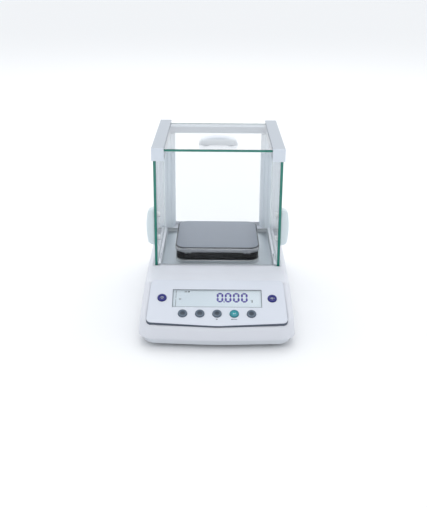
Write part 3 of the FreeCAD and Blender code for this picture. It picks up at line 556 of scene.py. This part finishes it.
polygons = []
for index in range(4):
    middle = (FIGURE_LEFT + index * FIGURE_STEP + FIGURE_WIDTH / 2, FIGURE_MID)
    polygons += [polygon + middle for polygon in figure_bars("abcdef")]
POINT = 1.9
point_x = FIGURE_LEFT + FIGURE_WIDTH + (FIGURE_STEP - FIGURE_WIDTH) / 2
polygons.append(oblong(POINT, POINT, 0.4)[0] + (point_x, FIGURE_MID - FIGURE_HEIGHT / 2 + POINT / 2))
mark("figures", printed(polygons), "lcd_module", "ink_violet")

# %% [markdown]
# Round the reading sit a few small signs: the unit, a ring that shows the reading is steady, the two lines of
# the load bar down the left side, and a bolder pair at the top. Two arrows stand under the keys. All use the
# same stroke as the keys' signs, on a flat height.

# %% Small signs on the display and the panel
def flat_signs(name, lines, width, height, node, ink):
    points, faces = together([stroke(line, width, lambda x, y: np.full(len(x), height)) for line in lines])
    mark(name, (put(points, panel), faces), node, ink)


UNIT = np.array((48.3, -36.8))
STEADY = np.array((-51.5, -34.5))
LOAD_BAR_X = 4.6 - window_width / 2
LOAD_BAR_REACH, LOAD_BAR_GAP = 14.6, 1.0
window_y = window_mid[1]
flat_signs("display_signs",
           arc(1.0, 0, 360, UNIT) + path(UNIT + (1.0, 1.1), UNIT + (1.0, -1.9))
           + arc(1.0, 0, -150, UNIT + (0, -1.9)) + arc(1.2, 0, 360, STEADY)
           + path((LOAD_BAR_X, window_y + LOAD_BAR_REACH), (LOAD_BAR_X, window_y + LOAD_BAR_GAP))
           + path((LOAD_BAR_X, window_y - LOAD_BAR_GAP), (LOAD_BAR_X, window_y - LOAD_BAR_REACH)),
           0.65, PRINTED, "lcd_module", "print_grey")
flat_signs("mode_signs",
           arc(1.5, 10, 170, (-43.8, -22.4)) + path((-39.6, -22.6), (-39.6, -20.6))
           + path((-41.0, -20.6), (-38.2, -20.6)),
           1.1, PRINTED, "lcd_module", "print_dark")

LABEL_Y = -70.8
ARROW_X, ARROW_Y = 1.0, 0.9
arrows = []
for node, reach in (("print_key", 1.3), ("enter_key", 4.0)):
    middle = on_panel(centre_of(node))[0]
    tip = np.array((middle - reach, LABEL_Y))
    arrows += path(tip, (middle + reach, LABEL_Y))
    arrows += path(tip, tip + (ARROW_X, ARROW_Y)) + path(tip, tip + (ARROW_X, -ARROW_Y))
flat_signs("key_labels", arrows, 0.8, PRINT_LIFT, "control_panel", "print_grey")

# %% [markdown]
# Draught shields are float glass, cut and ground. From the front a pane is clear, but its ground edge gathers
# light from the whole sheet and looks deep green. So each pane gets two finishes: clear on its two broad
# faces, and sea green on the narrow ones. A face's own direction decides which it gets.

# %% Glass panes
PANE_ARRIS, PANE_CORNER = 0.35, 1.2
PANES = {"back_glass": 1, "front_glass": 1, "left_door_glass": 0, "right_door_glass": 0, "top_door_glass": 2}


def pane(node, thin):
    """Plate with ground edges that fills a node's box; thin is the axis through its thickness."""
    across, along = np.eye(3)[[(thin + 1) % 3, (thin + 2) % 3]]
    size = size_of(node)
    half = size[thin] / 2
    outline = oblong(size @ across, size @ along, PANE_CORNER, steps=3)
    profile = plate_profile(-half, half, PANE_ARRIS, PANE_ARRIS, steps=2)
    piece = make(node + "_pane", solid(outline, profile, place(centre_of(node), across, along)), node)
    normals = np.empty(len(piece.data.polygons) * 3)
    piece.data.polygons.foreach_get("normal", normals)
    on_edge = np.abs(normals.reshape(-1, 3)[:, thin]) < 0.9
    piece["edge_faces"] = int(on_edge.sum())
    piece.data.attributes.new("ground", "INT", "FACE").data.foreach_set("value", on_edge.astype(np.int32))
    return piece


panes = [pane(node, thin) for node, thin in PANES.items()]
print(len(panes), "panes with", panes[0]["edge_faces"], "ground faces on the first")

# %% [markdown]
# The door handles are hollow mouldings that look solid: a D seen from the front, a little narrower at its
# crest. The outline of that D is carried through the handle's depth, with both rims rounded. Each side handle
# is the same shape turned onto its door, and the screw caps inside the glass are small domes.

# %% Door handles and screw caps
HANDLE_FOOT, HANDLE_CREST, HANDLE_RISE, HANDLE_DEPTH = 56.0, 46.0, 13.0, 18.0
HANDLE_BOW = 3.4
HANDLE_ROUND = 3.6
GLUE = 0.35


def handle_outline():
    """The D: flat foot, sides that lean in, round shoulders and a crest that bows up a little. The foot's
    corners lie below the glass, where they are cut off flat, a layer of glue above it."""
    foot, crest, rise = HANDLE_FOOT / 2, HANDLE_CREST / 2, HANDLE_RISE
    lean = (foot - crest) / rise * HANDLE_ROUND
    corners = [(-foot - lean, -HANDLE_ROUND), (foot + lean, -HANDLE_ROUND), (crest + 2.0, rise - HANDLE_BOW),
               (0, rise), (-crest - 2.0, rise - HANDLE_BOW)]
    return soft_outline(corners, [HANDLE_ROUND, HANDLE_ROUND, 6.0, 120, 6.0], steps=10)


def seat_of(node, way):
    """Middle of the side of a node's box that lies against the glass, for a part that rises along way."""
    low, high = low_high(node)
    return np.where(way > 0, low, np.where(way < 0, high, (low + high) / 2))


DOORS = (("left", -X_WAY, Z_WAY), ("right", X_WAY, Z_WAY), ("top", Z_WAY, X_WAY))
for side, way, along in DOORS:
    node = side + "_handle"
    profile = plate_profile(-HANDLE_DEPTH / 2, HANDLE_DEPTH / 2, HANDLE_ROUND, HANDLE_ROUND, steps=7)
    rings = carried(handle_outline(), profile)
    rings[:, :, 1] = np.maximum(rings[:, :, 1], GLUE)
    points = put(rings.reshape(-1, 3), place(seat_of(node, way), along, way))
    make(side + "_door_handle", (points, solid_faces(*rings.shape[:2])), node)


def dome_profile(height, edge):
    """Cap with a flat seat, a short wall and a rounded shoulder."""
    return walk([(2.0, GLUE), (0, GLUE)], bend(edge, height - edge, edge, 0, 90, 6), [(edge + 0.3, height)])


def caps(node, way, along):
    """The screw caps of one door: a dome at both ends of the node's box."""
    size = size_of(node)
    radius = size[1] / 2
    height = abs(size @ way)
    reach = (size @ along / 2 - radius) * along
    across = np.cross(along, way)
    return together([solid(ring_outline(radius, 36), dome_profile(height, height * 0.45),
                           place(seat_of(node, way) + end * reach, across, np.cross(way, across)))
                     for end in (-1, 1)])


for side, way, along in DOORS:
    make(side + "_screw_caps", caps(side + "_handle_screws", -way, along), side + "_handle_screws")

# %% [markdown]
# Below are the feet. The front ones are plain rubber studs. Each rear one is a wheel that a fingertip turns:
# its edge is a wave of the angle round the wheel, which is what a knurl looks like end on.

# %% Feet and levelling wheels
def foot_profile(low, high):
    """Rubber foot: a wide sole with a soft edge."""
    return walk([(5, low), (1.1, low)], bend(1.0, low + 1.0, 1.0, -90, 0), [(0, high), (5, high)])


front_low, front_high = low_high("front_feet")
FOOT_RADIUS = 9.0
feet = []
for x in (front_low[0] + FOOT_RADIUS, front_high[0] - FOOT_RADIUS):
    spot = over((x, (front_low[1] + front_high[1]) / 2))
    feet.append(solid(ring_outline(FOOT_RADIUS), foot_profile(0, 4.4), spot))
make("front_rubber_feet", together(feet), "front_feet")


def knurled_outline(radius, depth, count):
    """radius - depth * (1 - |cos(count * t / 2)| ^ 0.6): round crests with sharp valleys between them."""
    angle = np.linspace(0, 2 * np.pi, count * 10, endpoint=False)
    out = np.stack([np.cos(angle), np.sin(angle)], axis=1)
    wave = radius - depth * (1 - np.abs(np.cos(angle * count / 2)) ** 0.6)
    return wave[:, None] * out, out


WHEEL_RADIUS, KNURL_DEPTH, KNURLS = 14.4, 0.7, 36
for side in ("left", "right"):
    pad_low, pad_high = low_high(side + "_foot_pad")
    spot = over(centre_of(side + "_foot_pad"))
    make(side + "_rubber_foot", solid(ring_outline(FOOT_RADIUS), foot_profile(pad_low[2], pad_high[2]), spot),
         side + "_foot_pad")
    screw_low, screw_high = low_high(side + "_foot_screw")
    wheel = walk([(6, 4.6), (1.2, 4.6)], bend(0.8, 5.4, 0.8, -90, 0), bend(0.8, 10.7, 0.8, 0, 90),
                 [(1.2, 11.5), (6, 11.5)])
    stud = [(1.5, 11.4), (0, 11.4), (0, screw_high[2] - 0.6), (0.6, screw_high[2]), (1.0, screw_high[2])]
    pin = [(0.5, screw_low[2]), (0, screw_low[2] + 0.3), (0, 4.7), (0.5, 4.7)]
    make(side + "_levelling_wheel",
         together([solid(knurled_outline(WHEEL_RADIUS, KNURL_DEPTH, KNURLS), wheel, spot),
                   solid(ring_outline(4.0, 40), stud, spot), solid(ring_outline(2.0, 24), pin, spot)]),
         side + "_foot_screw")

# %% [markdown]
# A spirit level behind the shield tells when the balance stands true. Its vial is a shallow dome of tinted
# liquid; the bubble is a flattened lens at its top, and a thin ring marks the middle. The cover of the opening
# below and the cushions under the pan are plain plates.

# %% Level, hook cover and pan pads
vial_low, vial_high = low_high("level_vial")
vial_mid = centre_of("level_vial")
vial_radius = size_of("level_vial")[0] / 2
vial_place = over(vial_mid)
top = vial_high[2]
vial = walk([(2, vial_low[2]), (0, vial_low[2]), (0, top - 0.9)], bend(0.6, top - 0.8, 0.6, 0, 60, 4),
            [(2.0, top - 0.1), (3.4, top - 0.02), (4.1, top)])
make("level_liquid", solid(ring_outline(vial_radius, 48), vial, vial_place), "level_vial")
bubble = walk([(1.2, -0.25), (0.2, -0.2)], bend(0.25, 0, 0.25, -60, 60, 6), [(0.9, 0.2), (1.3, 0.22)])
bubble_spot = [vial_mid[0] + 0.3, vial_mid[1] - 0.2, top + 0.02]
mark("level_bubble", solid(ring_outline(1.5, 28), bubble, place(bubble_spot)), "level_vial", "bubble")
target = [(0.2, top + 0.04), (0.0, top + 0.04), (0.0, top + 0.07), (0.2, top + 0.07)]
mark("level_target", hoop(ring_outline(2.2, 40), target, vial_place), "level_vial", "print_dark")

cover_low, cover_high = low_high("hook_cover")
cover_size = size_of("hook_cover")
make("opening_cover", solid(oblong(cover_size[0], cover_size[1], 6, 10),
                            plate_profile(cover_low[2], cover_high[2], 0.4, 0.2),
                            over(centre_of("hook_cover"))), "hook_cover")

pads_low, pads_high = low_high("pan_pads")
PAD_RADIUS = 5.0
pads = []
for x in (pads_low[0] + PAD_RADIUS, pads_high[0] - PAD_RADIUS):
    for y in (pads_low[1] + PAD_RADIUS, pads_high[1] - PAD_RADIUS):
        pads.append(solid(ring_outline(PAD_RADIUS, 32), plate_profile(pads_low[2], pads_high[2], 0.3, 0.6),
                          over((x, y))))
make("pan_cushions", together(pads), "pan_pads")

# %% [markdown]
# Now the finishes. A shader is arithmetic on sockets, and it reads best as arithmetic: this small class wraps a
# socket so that a + b or 1 - mask adds the Math node that does it. Everything that isn't plain arithmetic goes
# through one method, add, which takes the node's type, its settings and its inputs.

# %% Shader arithmetic
class Wire:
    """A socket that can be added, multiplied and compared; numbers may stand on either side."""

    def __init__(self, finish, socket):
        self.finish = finish
        self.socket = socket

    def math(self, operation, first, second=0.0):
        return self.finish.add("Math", {"operation": operation}, {0: first, 1: second})

    def at_least(self, least):
        return self.math("MAXIMUM", self, least)

    def root(self):
        return self.math("SQRT", self)

    def __add__(self, other):
        return self.math("ADD", self, other)

    def __sub__(self, other):
        return self.math("SUBTRACT", self, other)

    def __rsub__(self, other):
        return self.math("SUBTRACT", other, self)

    def __mul__(self, other):
        return self.math("MULTIPLY", self, other)

    __radd__ = __add__
    __rmul__ = __mul__


def display_colour(red, green, blue):
    """Linear colour for a display value of 0 to 255 in each channel."""
    value = np.array([red, green, blue]) / 255
    linear = np.where(value <= 0.04045, value / 12.92, ((value + 0.055) / 1.055) ** 2.4)
    return tuple(linear.tolist()) + (1.0,)


def dimmed(colour, part):
    """A display colour with its light cut to a part of it, as a linear colour."""
    return tuple(channel * part for channel in display_colour(*colour)[:3]) + (1.0,)


finishes = {}


class Finish:
    """A material being built, or the world: its nodes, and short names for the few that every finish uses."""

    def __init__(self, name, owner=None, output="OutputMaterial"):
        self.name = name
        self.owner = owner or bpy.data.materials.new(name)
        self.owner.use_nodes = True
        self.tree = self.owner.node_tree
        self.tree.nodes.clear()
        self.out = self.tree.nodes.new("ShaderNode" + output)

    def add(self, kind, settings=None, inputs=None, output=0):
        """Any shader node: settings are set first, then each input gets a value or a link."""
        node = self.tree.nodes.new("ShaderNode" + kind)
        for name, value in (settings or {}).items():
            setattr(node, name, value)
        for key, value in (inputs or {}).items():
            if isinstance(value, Wire):
                self.tree.links.new(value.socket, node.inputs[key])
            else:
                node.inputs[key].default_value = value
        return Wire(self, node.outputs[output])

    def coordinates(self, stretch=(1, 1, 1)):
        """Object coordinates in millimetres, stretched so that grain can run one way."""
        source = self.add("TexCoord", output=3)
        scale = tuple(1000 * s for s in stretch)
        return self.add("Mapping", {}, {0: source, 3: scale})

    def along(self, axis):
        """The object coordinate along X, Y or Z (0, 1 or 2) in millimetres."""
        return self.add("SeparateXYZ", {}, {0: self.coordinates()}, axis)

    def slope(self, value, low, high):
        """Rises from 0 to 1 as a value goes from low to high, and stays level outside them."""
        return self.add("MapRange", {}, {0: value, 1: low, 2: high})

    def noise(self, size, detail=2.0, stretch=(1, 1, 1)):
        """Noise from 0 to 1 whose spots are about size millimetres across."""
        return self.add("TexNoise", {}, {"Vector": self.coordinates(stretch), "Scale": 1 / size,
                                                   "Detail": detail})

    def mix(self, factor, first, second):
        """Colour between two others, each a wire, a display colour of three values or a linear one of four."""
        first, second = (display_colour(*colour) if isinstance(colour, tuple) and len(colour) == 3 else colour
                         for colour in (first, second))
        return self.add("Mix", {"data_type": "RGBA"}, {0: factor, 6: first, 7: second}, output=2)

    def bump(self, height, depth):
        """Normal from a height map; depth is the relief in millimetres."""
        return self.add("Bump", {}, {"Height": height, "Distance": depth * MM, "Strength": 1.0})

    def principled(self, **inputs):
        named = {name.replace("_", " "): value for name, value in inputs.items()}
        return self.add("BsdfPrincipled", {}, named)

    def finish(self, shader):
        """Joins a shader to the output, and gives the material or the world."""
        self.tree.links.new(shader.socket, self.out.inputs[0])
        return self.owner

    def surface(self, **inputs):
        """Finishes with a Principled shader, and keeps the material under its name."""
        finishes[self.name] = self.finish(self.principled(**inputs))
        return finishes[self.name]


print("shader kit ready")

# %% [markdown]
# Moulded plastic is never one flat colour. Spark-eroded steel moulds leave a fine leather of about a third of a
# millimetre, and the colour drifts very slightly over the part. Both come from noise: the fine one is relief
# and roughness, the broad one shifts the colour.

# %% Moulded plastics and rubber
def moulded(slot, colour, roughness, grain=0.35, relief=0.006, coat=0.0, shine=0.5):
    finish = Finish(slot)
    fine = finish.noise(grain, 3.0)
    finish.surface(
        Base_Color=finish.mix(finish.noise(38.0), colour, dimmed(colour, 0.94)),
        Roughness=roughness + (fine - 0.5) * 0.08,
        Coat_Weight=coat, Coat_Roughness=0.08, Specular_IOR_Level=shine,
        Normal=finish.bump(fine, relief))


moulded("housing_white", (219, 222, 230), 0.42)
moulded("tray_white", (216, 221, 228), 0.46)
moulded("cover_white", (212, 217, 224), 0.46)
# painted light and shade: the shield frame is one white plastic. frame_white is a greyer copy of it, painted
# shade, and the posts' copy is brighter, painted light for what the glass holds back
moulded("frame_white", (160, 172, 186), 0.4, grain=0.5)
moulded("post_white_painted_light", (236, 245, 252), 0.4, grain=0.5)
moulded("track_white", (230, 234, 240), 0.35)
moulded("handle_white", (218, 230, 235), 0.3, relief=0.002)
moulded("cap_white", (238, 240, 242), 0.22, relief=0.002, coat=0.3)
moulded("trim_grey", (72, 82, 98), 0.4)
moulded("support_black", (8, 8, 9), 0.22, relief=0.001, shine=0.25)
moulded("level_black", (26, 26, 28), 0.3)
moulded("foot_wheel", (30, 31, 34), 0.5)
moulded("sensor_black", (24, 24, 26), 0.5)
moulded("socket_black", (22, 22, 24), 0.45)
moulded("pad_rubber", (34, 34, 36), 0.8, grain=0.8, relief=0.02)
moulded("mat_grey", (112, 116, 120), 0.75, grain=0.6)
# the posts take the brighter copy of the frame white, painted light
for side in ("left", "right"):
    made[side + "_shield_post"]["finish"] = "post_white_painted_light"
print(len(finishes), "plastics and rubbers")

# %% [markdown]
# Each rail is an extruded bar, painted greyer than the caps that close its front end: partly its own tone, and
# partly painted shade on the bar, whose top turns away from the front light. The finish is one material for both:
# the height along Y, measured from the front, chooses the cap's colour or the bar's.

# %% Rails with front caps
CAP_END = 1.0
rail_front = low_high("left_rail")[0][1]
rail = Finish("rail_grey")
fine = rail.noise(0.5, 3.0)
# painted shade in part: the bar takes a greyer colour than the front cap's
on_shaded_bar = rail.slope(rail.along(1), rail_front + CAP_END, rail_front + CAP_END + 0.4)
rail.surface(Base_Color=rail.mix(on_shaded_bar, (214, 222, 232), (167, 175, 185)),
             Roughness=0.36 + fine * 0.08, Normal=rail.bump(fine, 0.005))
for side in ("left", "right"):
    made[side + "_shield_rail"]["finish"] = "rail_grey"
print("rails finished, caps end at", round(rail_front + CAP_END, 1), "mm")

# %% [markdown]
# The same with height: the top handle's crest, which meets the studio's brightest light, is painted a shade darker
# than its sides, painted shade so that it stands out from a white room behind it.

# %% Top handle
handle_top = low_high("top_handle")[1][2]
crest = Finish("top_handle_white")
fine = crest.noise(0.35, 3.0)
# painted shade: the crest's colour is darker than the sides, against the bright light from above
crest_painted_shade = crest.slope(crest.along(2), handle_top - 5.0, handle_top - 1.5)
crest.surface(Base_Color=crest.mix(crest_painted_shade, (243, 247, 252), (206, 212, 222)),
              Roughness=0.3 + fine * 0.05, Normal=crest.bump(fine, 0.002))
made["top_door_handle"]["finish"] = "top_handle_white"
print("the top handle's crest is at", round(handle_top, 1), "mm")

# %% [markdown]
# The keypad film is smoother than the housing, a satin polyester with a very faint orange peel. The keys are
# silicone with their middle printed darker: the distance from the key's own middle, in the panel's axes,
# makes that disc, with a soft edge from a clamped slope.

# %% Panel film and keys
film = Finish("panel_white")
film_grain = film.noise(0.18)
film.surface(Base_Color=film.mix(film.noise(60.0), (214, 219, 229), (209, 215, 226)),
             Roughness=0.3 + film_grain * 0.08,
             Normal=film.bump(film.noise(2.2, 1.0) + film_grain * 0.3, 0.004))
DISC_RADIUS, DISC_BLUR = 3.6, 0.5
NAVY = ((14, 20, 116), (8, 12, 98))
TEAL = ((26, 126, 138), (32, 150, 160))
GREY = ((86, 101, 117), (46, 60, 76))
KEY_COLOURS = {"power_key": NAVY, "tare_key": NAVY, "enter_key": TEAL}


def key_finish(name, node, rim, middle):
    """Silicone key: the colour goes from middle to rim over a narrow band at the disc's edge."""
    finish = Finish(name)
    shifted = finish.add("VectorMath", {"operation": "SUBTRACT"},
                         {0: finish.coordinates(), 1: tuple(centre_of(node).tolist())})
    across, up = (finish.add("VectorMath", {"operation": "DOT_PRODUCT"}, {0: shifted, 1: tuple(way)}, 1)
                  for way in (X_WAY, PANEL_UP))
    edge = finish.slope((across * across + up * up).root(), DISC_RADIUS - DISC_BLUR, DISC_RADIUS + DISC_BLUR)
    fine = finish.noise(0.3)
    finish.surface(Base_Color=finish.mix(edge, middle, rim), Roughness=0.42 + fine * 0.1,
                   Normal=finish.bump(fine, 0.004))


for node in KEY_NODES:
    key_finish(node + "_silicone", node, *KEY_COLOURS.get(node, GREY))
    made[node + "_cap"]["finish"] = node + "_silicone"
print("film and", len(KEY_NODES), "key finishes")

# %% [markdown]
# Steel gets its look from direction. A brushed sheet is noise stretched many times along the brush, fed to
# roughness and relief. The pan is blasted first, so its grain is nearly even, with the rim left polished: a
# mask on height changes the roughness below the top. Two more slopes make a band on the bent edge between
# them, painted dark: painted shade where the rounded edge turns from the light.

# %% Metals
def metal(slot, colour, roughness, stretch=(1, 1, 1), grain=0.4, relief=0.002):
    finish = Finish(slot)
    streak = finish.noise(grain, 3.0, stretch)
    finish.surface(
        Base_Color=finish.mix(streak * 0.6 + finish.noise(24.0) * 0.4, colour, dimmed(colour, 0.88)),
        Metallic=1.0, Roughness=roughness + (streak - 0.5) * 0.12,
        Normal=finish.bump(streak, relief))


metal("floor_steel", (192, 199, 204), 0.34, stretch=(0.02, 1, 1), grain=0.5)
metal("ring_steel", (222, 224, 224), 0.2, stretch=(0.05, 1, 1), grain=0.5, relief=0.001)
metal("carrier_aluminium", (200, 202, 206), 0.35, stretch=(1, 0.05, 1))
metal("cell_casting", (176, 178, 182), 0.55, grain=0.6, relief=0.02)
metal("spring_steel", (190, 190, 188), 0.28, stretch=(0.05, 1, 1))
metal("pot_iron", (128, 128, 132), 0.4, stretch=(1, 1, 0.05))
metal("magnet_nickel", (200, 198, 190), 0.25)
metal("socket_metal", (196, 198, 200), 0.28)
metal("screw_steel", (186, 186, 190), 0.35)

pan_metal = Finish("pan_steel")
blast = pan_metal.noise(0.16)
brush = pan_metal.noise(0.5, 3.0, stretch=(0.04, 1, 1))
height = pan_metal.along(2)
on_top = pan_metal.slope(height, pan_top - 1.6, pan_top - 0.3)
# painted shade: the band between these two slopes is painted dark on the rounded edge
below = pan_metal.slope(height, pan_top - 1.7, pan_top - 1.3)
above = pan_metal.slope(height, pan_top - 0.12, pan_top - 0.02)
sheet_colour = pan_metal.mix(on_top, (160, 162, 164), (128, 134, 143))
pan_metal.surface(
    Base_Color=pan_metal.mix(below * (1 - above), sheet_colour, (64, 67, 72)), Metallic=1.0,
    Roughness=0.2 + on_top * 0.22 + (brush - 0.5) * 0.1, Normal=pan_metal.bump(blast * 0.5 + brush * 0.5, 0.003))

winding = Finish("coil_copper")
turns = winding.add("TexWave", {"bands_direction": "Z"}, {0: winding.coordinates(), 1: 1.2})
winding.surface(Base_Color=winding.mix(turns, (120, 62, 34), (196, 118, 70)), Metallic=0.9,
                Roughness=0.32 + turns * 0.1, Normal=winding.bump(turns, 0.06))
print(len(finishes), "finishes so far")

# %% [markdown]
# Electronics stay out of sight under the housing, yet a pan lifted off or a cover taken away shows them, so
# they are finished as well: solder mask with copper tracks below it, and a flat cable with ribs.

# %% Boards and cable
board = Finish("circuit_green")
tracks = board.add("TexBrick", {}, {0: board.coordinates(), 1: display_colour(20, 92, 50),
                                             2: display_colour(16, 78, 44), 3: display_colour(38, 122, 70),
                                             4: 0.22, 5: 0.06})
components = board.noise(6.0, 1.0)
board.surface(Base_Color=tracks, Roughness=0.3 + components * 0.15, Coat_Weight=0.4, Coat_Roughness=0.15,
              Normal=board.bump(components, 0.01))

cable = Finish("ribbon_grey")
ribs = cable.add("TexWave", {"bands_direction": "X"}, {0: cable.coordinates(), 1: 0.25})
cable.surface(Base_Color=cable.mix(ribs, (150, 152, 156), (190, 192, 196)), Roughness=0.5 + ribs * 0.1,
              Normal=cable.bump(ribs, 0.2))
print("boards and cable finished")

# %% [markdown]
# The liquid crystal cell is a pale blue-grey with painted light: it is painted brighter to the right and given a
# faint glow. The inks are matt, and each is speckled between two shades, as a printed dot is never quite even.

# %% Display and inks
cell = Finish("lcd_face")
# painted light: this slope paints the cell brighter to the right, and the emission below gives it a faint glow
lamp = cell.slope(cell.along(0) + cell.noise(20.0) * 8, -20.0, 56.0)
cell_colour = cell.mix(lamp, (199, 210, 217), (208, 218, 224))
cell.surface(Base_Color=cell_colour, Roughness=0.25 + cell.noise(0.4) * 0.05,
             Emission_Color=cell_colour, Emission_Strength=0.1)


def ink(name, colour, second=None):
    finish = Finish(name)
    speck = finish.noise(0.25)
    second = second or tuple(int(channel * 0.85) for channel in colour)
    finish.surface(Base_Color=finish.mix(speck, colour, second), Roughness=0.5 + speck * 0.1)


ink("print_light", (226, 232, 244))
ink("print_dark", (38, 48, 58))
ink("print_grey", (84, 94, 106))
ink("print_line", (134, 144, 156))
ink("ink_violet", (34, 12, 138), (58, 30, 152))
print("display and inks finished")

# %% [markdown]
# Real glass bends light, but a ray tracer then darkens what stands behind it, because lamp rays would have to
# find their way through. The usual cure is a Light Path node: rays that only ask "is there a lamp?" meet a
# plain tinted filter, and all others meet clear glass. Its index is set lower than real glass has, or the white
# tent's reflection would veil the chamber. The ground edge is a separate, solid sea green.

# %% Glass and liquids
def clear(name, tint, ior):
    finish = Finish(name)
    thinner = tuple(min(channel + 1, 255) for channel in tint)
    glass = finish.principled(Base_Color=finish.mix(finish.noise(60.0, 1.0), tint, thinner), Roughness=0.0,
                              IOR=ior, Transmission_Weight=1.0)
    through = finish.add("BsdfTransparent", {}, {0: display_colour(*thinner)})
    asks_for_lamp = finish.add("LightPath", output=1)
    finishes[name] = finish.finish(finish.add("MixShader", {}, {0: asks_for_lamp, 1: glass, 2: through}))


clear("pane_glass", (248, 249, 250), 1.2)
clear("window_clear", (252, 253, 254), 1.3)
clear("bubble", (236, 250, 220), 1.4)

ground = Finish("ground_edge")
chips = ground.noise(0.5)
ground.surface(Base_Color=ground.mix(ground.noise(18.0, 1.0), (8, 108, 94), (30, 130, 116)),
               Roughness=0.28 + chips * 0.12, Coat_Weight=0.1, Coat_Roughness=0.1,
               Normal=ground.bump(chips, 0.01))

liquid = Finish("level_glass")
swirl = liquid.noise(3.0, 1.0)
liquid.surface(Base_Color=liquid.mix(swirl, (176, 214, 84), (190, 226, 104)),
               Roughness=0.08 + swirl * 0.02, Coat_Weight=1.0, Coat_Roughness=0.02)
print(len(finishes), "finishes in all")

# %% [markdown]
# Last, every shown piece gets its finish: new pieces by the name they carry, CAD nodes by their slot in the
# record. The panes get two.

# %% Put the finishes on
for name, piece in made.items():
    piece.data.materials.clear()
    piece.data.materials.append(finishes[piece["finish"]])
for piece in panes:
    piece.data.materials.append(finishes["ground_edge"])
    ground_faces = np.empty(len(piece.data.polygons), np.int32)
    piece.data.attributes["ground"].data.foreach_get("value", ground_faces)
    piece.data.polygons.foreach_set("material_index", ground_faces)
shown = {node: thing for node, thing in frame["nodes"].items() if not thing.hide_render}
for node, thing in shown.items():
    thing.data.materials.clear()
    thing.data.materials.append(finishes[slot_of[node]])
print(len(shown), "CAD nodes are shown:", ", ".join(shown))

# %% [markdown]
# The studio is a pale floor in a white tent. The tent is brighter overhead than at the horizon, and brighter
# behind the balance than in front of it, so that steel shows form and a soft shadow falls towards the camera.
# A large soft lamp above and behind makes most of that shadow, a low one in front lights the upright faces, and
# two weak ones fill the sides. The tent glows a little where it meets the floor in front, so that a view from
# behind has a soft horizon.

# %% Studio
TENT_LOW, TENT_HIGH, TENT_BEHIND = 0.68, 1.16, 0.45
HORIZON_GLOW = 0.2
FLOOR_HALF = 40.0
tent = Finish("white tent", bpy.data.worlds.new("white tent"), "OutputWorld")
towards = tent.add("TexCoord")
upward = tent.add("SeparateXYZ", {}, {0: towards}, 2).at_least(0.0)
backward = tent.add("SeparateXYZ", {}, {0: towards}, 1)
wall = (TENT_LOW + upward * (TENT_HIGH - TENT_LOW)) * (1 + backward * TENT_BEHIND)
brightness = wall + (1 - upward * 4).at_least(0.0) * (1 - backward) * HORIZON_GLOW
background = tent.add("Background", {}, {0: (0.97, 0.985, 1.0, 1.0), 1: brightness})
bpy.context.scene.world = tent.finish(background)
bpy.context.scene.view_settings.view_transform = "Standard"

floor_mesh = bpy.data.meshes.new("floor")
floor_mesh.from_pydata([(x * FLOOR_HALF, y * FLOOR_HALF, 0) for x, y in ((-1, -1), (1, -1), (1, 1), (-1, 1))],
                       [], [(0, 1, 2, 3)])
floor = bpy.data.objects.new("floor", floor_mesh)
bpy.context.scene.collection.objects.link(floor)
paper = Finish("floor_paper")
floor_mesh.materials.append(paper.surface(
    Base_Color=paper.mix(paper.noise(1.5), (244, 245, 246), (242, 243, 245)), Roughness=0.9))


AIM = Vector((0, 0, 0.1))


def softbox(name, spot, size, power):
    """Square area lamp at spot, turned to the aim."""
    data = bpy.data.lights.new(name, "AREA")
    data.size = size
    data.energy = power
    lamp = bpy.data.objects.new(name, data)
    lamp.location = spot
    lamp.rotation_euler = (AIM - Vector(spot)).to_track_quat("-Z", "Y").to_euler()
    bpy.context.scene.collection.objects.link(lamp)


softbox("back_top", (0.0, 1.5, 2.2), 1.8, 16)
softbox("front_low", (0.0, -2.2, 0.55), 1.2, 6)
softbox("left_side", (-1.9, -0.1, 0.9), 1.2, 1)
softbox("right_side", (1.9, -0.1, 0.9), 1.2, 1)
print("studio lit")

# %% [markdown]
# A camera is placed by three directions at right angles, as any other object: forward from two angles, level
# to the right of that, and up from both. A small roll then turns the last two about the first.

# %% Camera
CAMERA_SPOT = Vector((-0.002163, -1.133117, 0.505505))
DOWN, TURN, ROLL = (math.radians(angle) for angle in (20.8547, -0.18753, 0.41073))
LENS = 56.175
forward = Vector((math.sin(TURN) * math.cos(DOWN), math.cos(TURN) * math.cos(DOWN), -math.sin(DOWN)))
level_right = Vector((math.cos(TURN), -math.sin(TURN), 0))
level_up = level_right.cross(forward)
right = math.cos(ROLL) * level_right + math.sin(ROLL) * level_up
up = -math.sin(ROLL) * level_right + math.cos(ROLL) * level_up
camera_data = bpy.data.cameras.new("camera")
camera_data.lens = LENS
camera_data.clip_start = 0.05
camera = bpy.data.objects.new("camera", camera_data)
turned = Matrix((right, up, -forward)).transposed().to_4x4()
camera.matrix_world = Matrix.Translation(CAMERA_SPOT) @ turned
bpy.context.scene.collection.objects.link(camera)
bpy.context.scene.camera = camera
print("camera looks down", round(math.degrees(DOWN), 1), "degrees")
